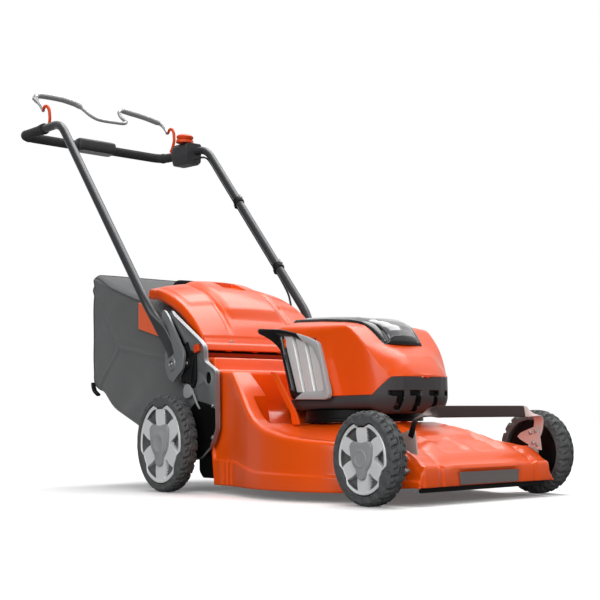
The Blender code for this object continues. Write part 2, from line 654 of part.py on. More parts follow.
def make_bag():
    """The grass bag with its mouth frame and carrying grip."""
    bag = lofted("grass_bag", [bag_section(y) for y in BAG_STATIONS], FABRIC, closed=True)
    inner = [bag_section(y, BAG_WALL) for y in (BAG_FRONT - 0.010, *BAG_STATIONS[1:-1], BAG_REAR - BAG_WALL)]
    combine(bag, lofted("bag_hollow", inner, FABRIC, closed=True, collection=CUTTERS))
    mouth_z = (0.161, 0.329)
    outer = [(-0.196, mouth_z[0]), (0.196, mouth_z[0]), (0.196, mouth_z[1]), (-0.196, mouth_z[1])]
    inner_edge = [(x * 0.93, 0.245 + (z - 0.245) * 0.85) for x, z in outer]
    frame = plate("bag_frame", [outer, inner_edge], 0.006, at(0, 0.6965, 0), DARK_GREY, FRONT_PLANE)
    top = interpolate(BAG_TOP, BAG_GRIP_STATION)
    arch = [at(x, BAG_GRIP_STATION, top + z)
            for x, z in ((-0.055, 0.005), (-0.045, 0.018), (0.045, 0.018), (0.055, 0.005))]
    grip = tube("bag_grip", rounded_path(arch, 0.012), 0.0045, BLACK)
    return bag, frame, grip


BRACKET_X, BRACKET_T = 0.210, 0.003
BRACKET_OUTLINE = ((0.790, 0.447), (0.772, 0.452), (0.617, 0.356), (0.600, 0.307), (0.568, 0.288),
                   (0.566, 0.150), (0.585, 0.115), (0.640, 0.080), (0.706, 0.072), (0.712, 0.112),
                   (0.672, 0.190), (0.706, 0.236), (0.712, 0.274), (0.766, 0.290), (0.785, 0.350))
LEVER_X, LEVER_STATION, LEVER_Z = 0.2180, 0.6925, 0.2450
TAB_X, TAB_STATION, TAB_Z = 0.2168, 0.652, 0.344
LATCH_X, LATCH_T = 0.2138, 0.004
STUD_R, LEVER_STUD_R = 0.005, 0.003


def make_brackets():
    """The steel side plates that carry the handle and the rear axle, with their latch parts."""
    crank_y, crank_z = crank_pivot(WHEEL_BASE, REAR_WHEEL_R, -1)
    levers, tabs = [], []
    for side, tag in SIDES:
        holes = [ring(0.0068, 12, (crank_y, crank_z)), ring(0.007, 12, (0.600, 0.268))]
        bracket = plate(f"handle_bracket_{tag}", [list(BRACKET_OUTLINE)] + holes, BRACKET_T,
                        at(side * BRACKET_X, 0, 0), STEEL)
        stud = rod(f"handle_stud_{tag}", STUD_R, 0.028, at(side * 0.2225, PIVOT_STATION, PIVOT_Z), STEEL,
                   TURN_TO_X, 12, CUTTERS)
        combine(bracket, stud, "UNION")
        lever_stud = rod(f"lever_stud_{tag}", LEVER_STUD_R, 0.012, at(side * 0.2160, LEVER_STATION, LEVER_Z), STEEL,
                         TURN_TO_X, 12, CUTTERS)
        combine(bracket, lever_stud, "UNION")
        block = [(0.700, 0.262), (0.722, 0.286), (0.722, 0.340), (0.700, 0.352), (0.694, 0.344), (0.688, 0.352),
                 (0.682, 0.340), (0.676, 0.350), (0.668, 0.338), (0.660, 0.300), (0.668, 0.282), (0.676, 0.290),
                 (0.684, 0.268)]
        plate(f"latch_block_{tag}", [block], LATCH_T, at(side * LATCH_X, 0, 0), BLACK)
        lever = [(0.700, 0.256), (0.684, 0.262), (0.668, 0.250), (0.655, 0.225), (0.600, 0.180), (0.606, 0.176),
                 (0.664, 0.212), (0.690, 0.214), (0.705, 0.232)]
        eye = ring(LEVER_STUD_R + 0.0005, 12, (LEVER_STATION, LEVER_Z))
        levers.append(plate(f"lock_lever_{tag}", [lever, eye], 0.006, at(side * LEVER_X, 0, 0), LIGHT_GREY))
        tab = [(0.640, 0.338), (0.662, 0.334), (0.664, 0.352), (0.644, 0.356)]
        tabs.append(plate(f"release_tab_{tag}", [tab], 0.010, at(side * TAB_X, 0, 0), ORANGE))
    return levers, tabs


TUBE_END_X = 0.2290
ARM_RISE = (BAR_Z - BEND_Z) / (BAR_STATION - BEND_STATION)
BAIL_STUD_R = 0.0035
CONTROL_STATION, BUTTON_STATION, BUTTON_STEM_R = 1.455, 1.430, 0.012


def handle_route(side):
    """Corner points of one half of the handle, from the pivot to the middle of the rear bar."""
    return [at(side * TUBE_END_X, PIVOT_STATION - 0.004, PIVOT_Z - 0.012),
            at(side * TUBE_END_X, PIVOT_STATION + 0.010, PIVOT_Z + 0.030),
            at(side * HANDLE_X, KNEE_STATION, KNEE_Z),
            at(side * HANDLE_X, BEND_STATION, BEND_Z),
            at(side * HANDLE_X, BAR_STATION, BAR_Z)]


def make_handle():
    """The bent tube, its foam grip, the console on the bar and the control box on the left arm."""
    corners = handle_route(RIGHT) + handle_route(LEFT)[::-1]
    path = rounded_path(corners, 0.045, steps=5)
    handle = tube("handle_tube", path, TUBE_R, GREY_TUBE, sides=3)
    for side, tag in SIDES:
        end = at(side * TUBE_END_X, PIVOT_STATION, PIVOT_Z)
        boss = rod(f"tube_boss_{tag}", 0.021, 0.0120, end, GREY_TUBE, TURN_TO_X, 20, CUTTERS)
        combine(handle, boss, "UNION")
        combine(handle, rod(f"tube_eye_{tag}", 0.0056, 0.05, end, GREY_TUBE, TURN_TO_X, 12, CUTTERS))
    socket = rod("cable_socket", 0.0065, 0.0120, at(0.2400, 0.7620, 0.3165), GREY_TUBE, TURN_TO_X, 10, CUTTERS)
    combine(handle, socket, "UNION")
    for side, tag in SIDES:
        stud = rod(f"bail_stud_{tag}", BAIL_STUD_R, 0.022, at(side * 0.2440, BAIL_STATION, BAIL_Z), GREY_TUBE,
                   TURN_TO_X, 12, CUTTERS)
        combine(handle, stud, "UNION")
    grip_corners = [at(-HANDLE_X, BAR_STATION - 0.135, BAR_Z - 0.135 * ARM_RISE), at(-HANDLE_X, BAR_STATION, BAR_Z),
                    at(HANDLE_X, BAR_STATION, BAR_Z), at(HANDLE_X, BAR_STATION - 0.105, BAR_Z - 0.105 * ARM_RISE)]
    grip_path = rounded_path(grip_corners, 0.045, steps=5)
    grip = tube("grip_bar", grip_path, BAR_R, BLACK, sides=3)
    away = (grip_path[0] - grip_path[1]).normalized() * 0.01
    back = (grip_path[-1] - grip_path[-2]).normalized() * 0.01
    bore_path = [grip_path[0] + away] + grip_path[1:-1] + [grip_path[-1] + back]
    combine(grip, tube("grip_bore", bore_path, TUBE_R + 0.0009, BLACK, sides=3, collection=CUTTERS))
    combine(grip, rod("grip_stud_hole", BAIL_STUD_R + 0.0008, 0.040, at(-0.240, BAIL_STATION, BAIL_Z), BLACK,
                      TURN_TO_X, 12, CUTTERS))
    console = box("console", (0.142, 0.054, 0.043), at(0.004, BAR_STATION + 0.002, 1.1050), BLACK, bevel=0.006)
    combine(console, rod("console_bore", BAR_R + 0.0006, 0.2, at(0.0, BAR_STATION, BAR_Z), BLACK, TURN_TO_X, 24,
                         CUTTERS))
    tilt = Matrix.Rotation(math.atan(ARM_RISE), 4, "X")
    control_z = BEND_Z + (CONTROL_STATION - BEND_STATION) * ARM_RISE
    control = box("control_box", (0.068, 0.100, 0.074), at(0.2425, CONTROL_STATION, control_z - 0.010), DARK_GREY,
                  tilt, bevel=0.008)
    combine(control, rod("control_bore", TUBE_R + 0.0009, 0.3, at(HANDLE_X, CONTROL_STATION, control_z), DARK_GREY,
                         tilt @ TURN_TO_Y, 24, CUTTERS))
    seat = at(0.228, BUTTON_STATION, control_z + 0.0282)
    combine(control, rod("button_hole", BUTTON_STEM_R + 0.0008, 0.024, seat, DARK_GREY, tilt, 20, CUTTERS))
    button = turned("start_button", [(0.0, 0.028), (0.024, 0.027), (0.029, 0.021), (0.030, 0.004), (0.028, 0.0),
                                     (BUTTON_STEM_R, 0.0), (BUTTON_STEM_R, -0.0075), (0.0, -0.0075)], seat, ORANGE,
                    tilt)
    return handle, grip, console, control, button


BAIL_TOP_STATION, BAIL_TOP_Z = 1.575, 1.213
BAIL_X = 0.2350


def make_bail():
    """The operator bail: two flat paddles, a dipping middle wire, and an orange lever at each end."""
    y, z = BAIL_TOP_STATION, BAIL_TOP_Z
    knee = at(0, 1.537, 1.168)
    wire = 0.0045
    route = [(-BAIL_X + 0.008, knee), (-BAIL_X + 0.013, at(0, y - 0.015, z - 0.013)), (-BAIL_X + 0.040, at(0, y, z)),
             (-0.105, at(0, y, z)), (-0.085, at(0, y - 0.010, z - 0.018)), (-0.050, at(0, y - 0.030, z - 0.045)),
             (0.010, at(0, y - 0.036, z - 0.052)), (0.038, at(0, y - 0.034, z - 0.048)),
             (0.034, at(0, y - 0.012, z - 0.015)), (0.050, at(0, y, z)), (BAIL_X - 0.060, at(0, y, z)),
             (BAIL_X - 0.018, at(0, y - 0.010, z - 0.012)), (BAIL_X - 0.008, knee)]
    points = [Vector((x, p.y, p.z)) for x, p in route]
    path = smooth_path(points, 3)
    paddle = [1.7 if (-BAIL_X + 0.02 < p.x < -0.11 or 0.055 < p.x < BAIL_X - 0.03) else 1.0 for p in path]
    bail = tube("bail", path, wire, LIGHT_GREY, sides=2, radii=paddle)
    levers = []
    for side, tag in SIDES:
        outline = [(1.5095, 1.091), (1.517, 1.086), (1.5255, 1.091), (1.534, 1.152), (1.544, 1.163),
                   (1.541, 1.176), (1.524, 1.171), (1.510, 1.110)]
        eye = ring(BAIL_STUD_R + 0.0005, 12, (BAIL_STATION, BAIL_Z))
        levers.append(plate(f"bail_lever_{tag}", [outline, eye], 0.006, at(side * (BAIL_X + 0.0005), 0, 0), ORANGE))
    return bail, levers


CLIPS = (("cable_clip_upper", 1.160), ("cable_clip_lower", 0.955))
CABLE_R = 0.003
CABLE_OFFSET = TUBE_R + CABLE_R + 0.0012


def on_tube(y):
    """Centre of the left tube's straight part at a station."""
    return at(HANDLE_X, y, KNEE_Z + (BEND_Z - KNEE_Z) * (y - KNEE_STATION) / (BEND_STATION - KNEE_STATION))


def make_cable():
    """The control cable down the left tube, in two clips, into its grommet beside the pivot."""
    along = (on_tube(1.2) - on_tube(1.0)).normalized()
    under = Vector((0, along.z, -along.y))
    route = [at(0.246, 1.398, 1.048), at(0.252, 1.375, 1.049), at(0.259, 1.350, 1.044)]
    route += [on_tube(y) + under * CABLE_OFFSET
              for y in (1.31, 1.25, 1.20, 1.160, 1.10, 1.04, 0.98, 0.955, 0.93)]
    route += [at(0.258, 0.905, 0.536), at(0.254, 0.885, 0.490), at(0.252, 0.860, 0.440), at(0.2515, 0.825, 0.385),
              at(0.2515, 0.790, 0.345), at(0.2520, 0.772, 0.326), at(0.2495, 0.762, 0.3165)]
    cable = tube("control_cable", smooth_path(route, 3), CABLE_R, BLACK, sides=1)
    clips = []
    for name, y in CLIPS:
        middle = on_tube(y)
        aim = along.to_track_quat("Z", "X").to_matrix().to_4x4()
        clip = rod(name, TUBE_R + 0.0038, 0.016, middle, BLACK, aim, 16)
        lug = rod(f"{name}_lug", CABLE_R + 0.0032, 0.016, middle + under * CABLE_OFFSET, BLACK, aim, 12, CUTTERS)
        combine(clip, lug, "UNION")
        combine(clip, rod(f"{name}_bore", TUBE_R + 0.0007, 0.05, middle, BLACK, aim, 24, CUTTERS))
        combine(clip, rod(f"{name}_eye", CABLE_R + 0.0008, 0.05, middle + under * CABLE_OFFSET, BLACK, aim, 12,
                          CUTTERS))
        clips.append(clip)
    return cable, clips


def make_axle(name, wheel_station, wheel_r, towards, arm_x, stub_x):
    """A cranked axle: a cross rod, two crank arms and two stubs, bent from one bar."""
    y, z = crank_pivot(wheel_station, wheel_r, towards)
    corners = [at(-stub_x, wheel_station, wheel_r), at(-arm_x, wheel_station, wheel_r), at(-arm_x, y, z),
               at(arm_x, y, z), at(arm_x, wheel_station, wheel_r), at(stub_x, wheel_station, wheel_r)]
    return tube(name, rounded_path(corners, 0.010, steps=3), CRANK_ROD_R, STEEL, sides=2)


def make_gearbox():
    """The drive gearbox, clamped round the rear cross rod."""
    y, z = crank_pivot(WHEEL_BASE, REAR_WHEEL_R, -1)
    body = box("drive_gearbox", (0.090, 0.056, 0.050), at(0.06, y, z), BLACK, bevel=0.006)
    combine(body, rod("gearbox_bore", CRANK_ROD_R + 0.0005, 0.3, at(0.06, y, z), BLACK, TURN_TO_X, 16, CUTTERS))
    return body


def make_wheel(tag, side, wheel_station, wheel_r, rim_r, half_track, lugs):
    """Tyre with chunky lugs, six-spoked hub and three-lobed cap."""
    centre = at(side * half_track, wheel_station, wheel_r)
    pitch = 2 * math.pi / lugs
    tread = []
    for i in range(lugs):
        middle = -math.pi / 2 + i * pitch
        for share, radius in ((-0.30, wheel_r / math.cos(0.30 * pitch)), (0.30, wheel_r / math.cos(0.30 * pitch)),
                              (0.36, wheel_r - LUG_DEPTH), (0.64, wheel_r - LUG_DEPTH)):
            angle = middle + share * pitch
            tread.append((radius * math.cos(angle), radius * math.sin(angle)))
    tyre = plate(f"tyre_{tag}", [tread, ring(rim_r, 36)], WHEEL_W, centre, TYRE)
    face = side * (WHEEL_W / 2 - 0.006)
    pockets = []
    for i in range(6):
        middle = math.pi / 2 + i * math.pi / 3 + math.pi / 6
        inner, outer, spread = rim_r * 0.50, rim_r * 0.84, math.radians(17)
        pockets.append([(inner * math.cos(middle), inner * math.sin(middle)),
                        (outer * math.cos(middle - spread), outer * math.sin(middle - spread)),
                        (outer * 1.03 * math.cos(middle), outer * 1.03 * math.sin(middle)),
                        (outer * math.cos(middle + spread), outer * math.sin(middle + spread))])
    disc = [ring(rim_r - 0.0006, 36)] + pockets
    hub = plate(f"hub_{tag}", disc, 0.008, centre + Vector((face, 0, 0)), SILVER)
    barrel = rod(f"barrel_{tag}", 0.017, 0.034, centre, SILVER, TURN_TO_X, 16, CUTTERS)
    combine(hub, barrel, "UNION")
    combine(hub, rod(f"hub_bore_{tag}", CRANK_ROD_R + 0.0005, 0.1, centre, SILVER, TURN_TO_X, 16, CUTTERS))
    lobes = []
    count, base, swell = 24, rim_r * 0.30, rim_r * 0.085
    for i in range(count):
        turn = math.pi / 2 + 2 * math.pi * i / count
        radius = base + swell * math.cos(3 * (turn + math.pi / 2))
        lobes.append((radius * math.cos(turn), radius * math.sin(turn)))
    cap = plate(f"cap_{tag}", [lobes], 0.006, centre + Vector((side * (WHEEL_W / 2 + 0.0013), 0, 0)), CAP_GREY)
    return tyre, hub, cap


HEIGHT_X = 0.2195
HEIGHT_STATION, HEIGHT_Z = 0.535, 0.200


def make_height_lever():
    """The cutting-height lever with its round knob, outside the left side plate."""
    outline = [(0.523, 0.200), (0.529, 0.190), (0.541, 0.190), (0.547, 0.200), (0.531, 0.330), (0.513, 0.330)]
    lever = plate("height_lever", [outline], 0.004, at(HEIGHT_X, 0, 0), BLACK)
    knob = rod("height_knob", 0.013, 0.024, at(HEIGHT_X + 0.0115, 0.522, 0.332), BLACK, TURN_TO_X, 16, CUTTERS)
    boss = rod("height_boss", 0.007, 0.008, at(HEIGHT_X - 0.0037, HEIGHT_STATION, HEIGHT_Z), BLACK, TURN_TO_X, 12,
               CUTTERS)
    combine(lever, knob, "UNION")
    combine(lever, boss, "UNION")
    return lever


def build():
    """Makes every piece and hangs the moving ones on empties at their joint axes."""
    make_deck()
    make_bumper()
    make_carry_handle()
    cover, lid = make_housing()
    make_grilles(cover)
    spinning = make_motor()
    battery = make_battery()
    flap = make_flap()
    bag, bag_frame, bag_grip = make_bag()
    lock_levers, tabs = make_brackets()
    handle, grip, console, control, button = make_handle()
    bail, bail_levers = make_bail()
    cable, clips = make_cable()
    front = make_axle("front_axle", 0.0, FRONT_WHEEL_R, -1, 0.2155, FRONT_TRACK / 2 + WHEEL_W / 2 - 0.0025)
    rear = make_axle("rear_axle", WHEEL_BASE, REAR_WHEEL_R, -1, 0.2240, REAR_TRACK / 2 + WHEEL_W / 2 - 0.0025)
    gearbox = make_gearbox()
    front_empty = empty("front_crank_axis", at(0, *crank_pivot(0.0, FRONT_WHEEL_R, -1)))
    rear_empty = empty("rear_crank_axis", at(0, *crank_pivot(WHEEL_BASE, REAR_WHEEL_R, -1)))
    wheels = (("front", 0.0, FRONT_WHEEL_R, FRONT_RIM_R, FRONT_TRACK / 2, LUGS_FRONT, front_empty),
              ("rear", WHEEL_BASE, REAR_WHEEL_R, REAR_RIM_R, REAR_TRACK / 2, LUGS_REAR, rear_empty))
    for name, y, wheel_r, rim_r, half_track, lugs, crank in wheels:
        for side, tag in SIDES:
            pieces = make_wheel(f"{name}_{tag}", side, y, wheel_r, rim_r, half_track, lugs)
            spin = empty(f"wheel_axis_{name}_{tag}", at(side * half_track, y, wheel_r))
            hang(spin, *pieces)
            hang(crank, spin)
    hang(front_empty, front)
    hang(rear_empty, rear, gearbox)
    hang(empty("blade_axis", at(0, BLADE_STATION, BLADE_Z)), *spinning)
    hang(empty("lid_axis", at(0, LID_HINGE_STATION, LID_HINGE_Z)), lid)
    hang(empty("battery_slide", battery.matrix_world.translation), battery)
    hang(empty("flap_axis", at(0, HINGE_STATION, HINGE_Z)), flap)
    hang(empty("bag_slide", at(0, 0.70, 0.24)), bag, bag_frame, bag_grip)
    hang(empty("height_axis", at(HEIGHT_X, HEIGHT_STATION, HEIGHT_Z)), make_height_lever())
    fold = empty("handle_axis", at(0, PIVOT_STATION, PIVOT_Z))
    bail_empty = empty("bail_axis", at(0, BAIL_STATION, BAIL_Z))
    button_empty = empty("button_slide", button.matrix_world.translation)
    hang(bail_empty, bail, *bail_levers)
    hang(button_empty, button)
    hang(fold, handle, grip, console, control, cable, *clips, bail_empty, button_empty)
    for (side, tag), lever, tab in zip(SIDES, lock_levers, tabs):
        hang(empty(f"lock_axis_{tag}", at(side * LEVER_X, LEVER_STATION, LEVER_Z)), lever)
        hang(empty(f"tab_axis_{tag}", at(side * TAB_X, TAB_STATION, TAB_Z)), tab)


build()
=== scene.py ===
"""Cordless lawn mower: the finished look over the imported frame.

Every new piece is a surface worked out on a grid with numpy. Lengths are metres. A station is a
distance behind the front axle, and world Y is the station plus FRONT_AXLE_Y. The mower's own right
side is -X.
"""
from __future__ import annotations

import json
import logging
import math
from dataclasses import dataclass
from enum import Enum
from typing import Mapping, Sequence

import bmesh
import bpy
import numpy as np
from mathutils import Matrix, Vector

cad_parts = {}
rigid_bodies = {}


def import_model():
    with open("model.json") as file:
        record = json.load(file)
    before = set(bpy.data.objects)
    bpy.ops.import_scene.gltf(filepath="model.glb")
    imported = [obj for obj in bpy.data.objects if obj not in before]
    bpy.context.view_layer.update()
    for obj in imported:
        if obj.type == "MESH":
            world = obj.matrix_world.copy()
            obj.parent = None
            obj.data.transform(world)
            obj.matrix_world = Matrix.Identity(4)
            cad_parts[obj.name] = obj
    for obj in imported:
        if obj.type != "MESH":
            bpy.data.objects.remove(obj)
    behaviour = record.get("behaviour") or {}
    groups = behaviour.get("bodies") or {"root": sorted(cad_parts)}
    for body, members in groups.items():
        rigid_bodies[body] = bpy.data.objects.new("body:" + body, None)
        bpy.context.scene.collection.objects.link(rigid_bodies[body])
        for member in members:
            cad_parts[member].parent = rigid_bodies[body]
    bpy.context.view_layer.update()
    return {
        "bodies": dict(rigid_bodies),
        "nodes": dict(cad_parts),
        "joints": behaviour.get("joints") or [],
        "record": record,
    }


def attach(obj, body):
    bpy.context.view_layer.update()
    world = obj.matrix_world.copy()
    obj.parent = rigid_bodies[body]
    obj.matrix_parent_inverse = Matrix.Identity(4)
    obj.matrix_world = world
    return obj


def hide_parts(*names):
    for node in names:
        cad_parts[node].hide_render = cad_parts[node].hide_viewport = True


LOG = logging.getLogger("mower")
FRONT_AXLE_Y = -0.7855
WELD = 1e-6
SLIVER = 1e-7
TINY = 1e-9
Table = Sequence[tuple[float, float]]
Sockets = Mapping[str, bpy.types.NodeSocket]


class Side(Enum):
    """The mower's own two sides, valued by the sign of X and the letter in node names."""

    RIGHT = (-1, "r")
    LEFT = (1, "l")

    @property
    def sign(self) -> int:
        """The sign of X on this side."""
        return self.value[0]

    @property
    def tag(self) -> str:
        """The letter that ends this side's node names."""
        return self.value[1]


# Grids and profiles


def at(points: Sequence) -> np.ndarray:
    """World points of (x, station, z) rows: the front axle's Y is added to the station."""
    out = np.array(points, float)
    out[..., 1] += FRONT_AXLE_Y
    return out


def read(table: Table, place: np.ndarray | float, soften: float = 0.0) -> np.ndarray:
    """Values read from a table of (place, value) along straight lines.

    The reading is the mean of nine readings spread evenly over the softening on both sides.

    Args:
        table: the (place, value) pairs in rising order.
        place: where to read.
        soften: half the width that the mean is taken over.

    Returns:
        One value for each place.
    """
    places, values = np.array(table, float).T
    spread = np.linspace(-soften, soften, 9).reshape((9,) + (1,) * np.ndim(place))
    return np.interp(np.asarray(place, float)[None] + spread, places, values).mean(0)


def ramp(low: float, high: float, value: np.ndarray) -> np.ndarray:
    """Smooth step from 0 at low to 1 at high: three squares less two cubes of the share."""
    share = np.clip((np.asarray(value, float) - low) / (high - low), 0.0, 1.0)
    return share * share * (3.0 - 2.0 * share)


def band(low: float, high: float, edge: float, value: np.ndarray) -> np.ndarray:
    """A plateau of 1 between low and high that falls to 0 over edge on both sides."""
    return ramp(low - edge, low, value) * (1.0 - ramp(high, high + edge, value))


def rounded(corners: Sequence, radii: Sequence | float, steps: int = 4, closed: bool = False) -> np.ndarray:
    """Polylines whose corners are turned as quadratic arcs.

    Each corner gives way to the curve (1-t)^2 start + 2t(1-t) corner + t^2 end, whose ends lie
    along the two neighbouring lines at the radius, or at under half of a short line.

    Args:
        corners: an array (..., corners, axes), so that many polylines are turned at once.
        radii: one radius, or one for each turned corner.
        steps: spans on each arc.
        closed: whether the last corner joins the first.

    Returns:
        An array (..., points, axes).
    """
    corners = np.array(corners, float)
    if closed:
        core, before, after = corners, np.roll(corners, 1, -2), np.roll(corners, -1, -2)
    else:
        core, before, after = corners[..., 1:-1, :], corners[..., :-2, :], corners[..., 2:, :]
    radius = np.broadcast_to(np.asarray(radii, float), core.shape[:-1])[..., None]
    ends = []
    for other in (before, after):
        line = other - core
        length = np.linalg.norm(line, axis=-1, keepdims=True) + TINY
        ends.append(core + line * np.minimum(radius / length, 0.48))
    t = np.linspace(0.0, 1.0, steps + 1)[:, None]
    first, last = ends[0][..., None, :], ends[1][..., None, :]
    arcs = (1 - t) ** 2 * first + 2 * t * (1 - t) * core[..., None, :] + t ** 2 * last
    arcs = arcs.reshape(core.shape[:-2] + (-1, corners.shape[-1]))
    if closed:
        return arcs
    return np.concatenate([corners[..., :1, :], arcs, corners[..., -1:, :]], axis=-2)


def spaced(path: np.ndarray, count: int, closed: bool = False) -> np.ndarray:
    """Points at equal distances along a path, read by its running length.

    Args:
        path: points (n, axes).
        count: how many points to return.
        closed: whether the path returns to its start, which is then not repeated.

    Returns:
        Points (count, axes).
    """
    line = np.vstack([path, path[:1]]) if closed else path
    run = np.concatenate([[0.0], np.cumsum(np.linalg.norm(np.diff(line, axis=0), axis=1))])
    places = np.linspace(0.0, run[-1], count + 1)[:-1] if closed else np.linspace(0.0, run[-1], count)
    return np.stack([np.interp(places, run, line[:, k]) for k in range(line.shape[1])], axis=1)


def mirrored(half: np.ndarray) -> np.ndarray:
    """Whole sections from halves that run from the outside to the middle at x >= 0: the right side
    is the half with x turned negative, and the left side is the half read backwards."""
    right = half * np.array([-1.0, 1.0, 1.0])
    return np.concatenate([right, half[..., ::-1, :][..., 1:, :]], axis=-2)


def closed_line(corners: Sequence, radius: float, steps: int, count: int = 0) -> np.ndarray:
    """A closed line with turned corners, evenly spaced where a count is given."""
    line = rounded(corners, radius, steps, True)
    return spaced(line, count, True) if count else line


def keyed(*keys: tuple) -> np.ndarray:
    """Corners of many sections at once, from one pair of (x, z) station rows for each corner."""
    return np.stack([np.stack(np.broadcast_arrays(*key), -1) for key in keys], axis=1)


def joined(x: np.ndarray, y: np.ndarray, z: np.ndarray) -> np.ndarray:
    """Points from their three coordinates, each spread to the same shape."""
    return np.stack(np.broadcast_arrays(x, y, z), -1)


def upright(x: float | np.ndarray, line: Sequence) -> np.ndarray:
    """World points of a line of (station, z), at one distance from the middle or one for each."""
    return at(np.column_stack([np.full(len(line), x), line]))


def crosswise(station: float, line: Sequence) -> np.ndarray:
    """World points of a line of (x, z) at one station."""
    line = np.asarray(line)
    return at(np.column_stack([line[:, 0], np.full(len(line), station), line[:, 1]]))


def turns(count: int) -> np.ndarray:
    """Even angles once round, from 0."""
    return np.linspace(0.0, 2 * np.pi, count, endpoint=False)


def unit(rows: np.ndarray) -> np.ndarray:
    """Each row over its own length."""
    return rows / np.linalg.norm(rows, axis=-1, keepdims=True)


def ellipse(wide: float, tall: float, power: float = 2.0, count: int = 20) -> np.ndarray:
    """A closed section (count, 2): cosine and sine raised to 2 / power, times both half sizes."""
    turn = turns(count)
    c, s = np.cos(turn), np.sin(turn)
    return np.stack([wide * np.sign(c) * np.abs(c) ** (2 / power),
                     tall * np.sign(s) * np.abs(s) ** (2 / power)], axis=1)


def carried(path: np.ndarray, section: np.ndarray, up: Sequence[float] | np.ndarray) -> np.ndarray:
    """A section carried along a path.

    At each path point the section's first axis lies along up x tangent, and its second is square
    to that and to the tangent.

    Args:
        path: points (n, 3).
        section: (m, 2), or (n, m, 2) where it changes along the path.
        up: a direction that the path never follows, one for all points or one for each.

    Returns:
        The grid (n, m, 3).
    """
    tangent = unit(np.gradient(path, axis=0))
    side = unit(np.cross(np.broadcast_to(np.asarray(up, float), path.shape), tangent))
    over = np.cross(tangent, side)
    return path[:, None] + section[..., 0:1] * side[:, None] + section[..., 1:2] * over[:, None]


def bezel(outer: np.ndarray, inner: np.ndarray, profile: Sequence, rise: Sequence[float]) -> np.ndarray:
    """A raised frame between two outlines of equal point counts.

    Each profile point (share, height) lies at that share of the way from the outer to the inner
    outline, lifted by the height along the rise direction.

    Args:
        outer: outline (n, 3).
        inner: outline (n, 3).
        profile: points (m, 2).
        rise: the direction of height.

    Returns:
        The grid (n, m, 3), closed round the outline.
    """
    shape = np.array(profile, float)
    share, height = shape[:, 0][None, :, None], shape[:, 1][None, :, None]
    return outer[:, None] * (1 - share) + inner[:, None] * share + height * np.asarray(rise, float)


def spun(profile: Sequence, count: int = 48, axis: str = "z") -> np.ndarray:
    """A profile of (radius, height) spun about an axis: the two other axes get the radius times the
    cosine and the sine of the turn, and the axis gets the height.

    Args:
        profile: points (m, 2).
        count: steps round the axis.
        axis: "x" or "z".

    Returns:
        The grid (count, m, 3), closed round.
    """
    shape = np.array(profile, float)
    turn = turns(count)[:, None]
    a, b = shape[:, 0] * np.cos(turn), shape[:, 0] * np.sin(turn)
    h = np.broadcast_to(shape[:, 1], a.shape)
    return np.stack([a, b, h] if axis == "z" else [h, a, b], axis=-1)


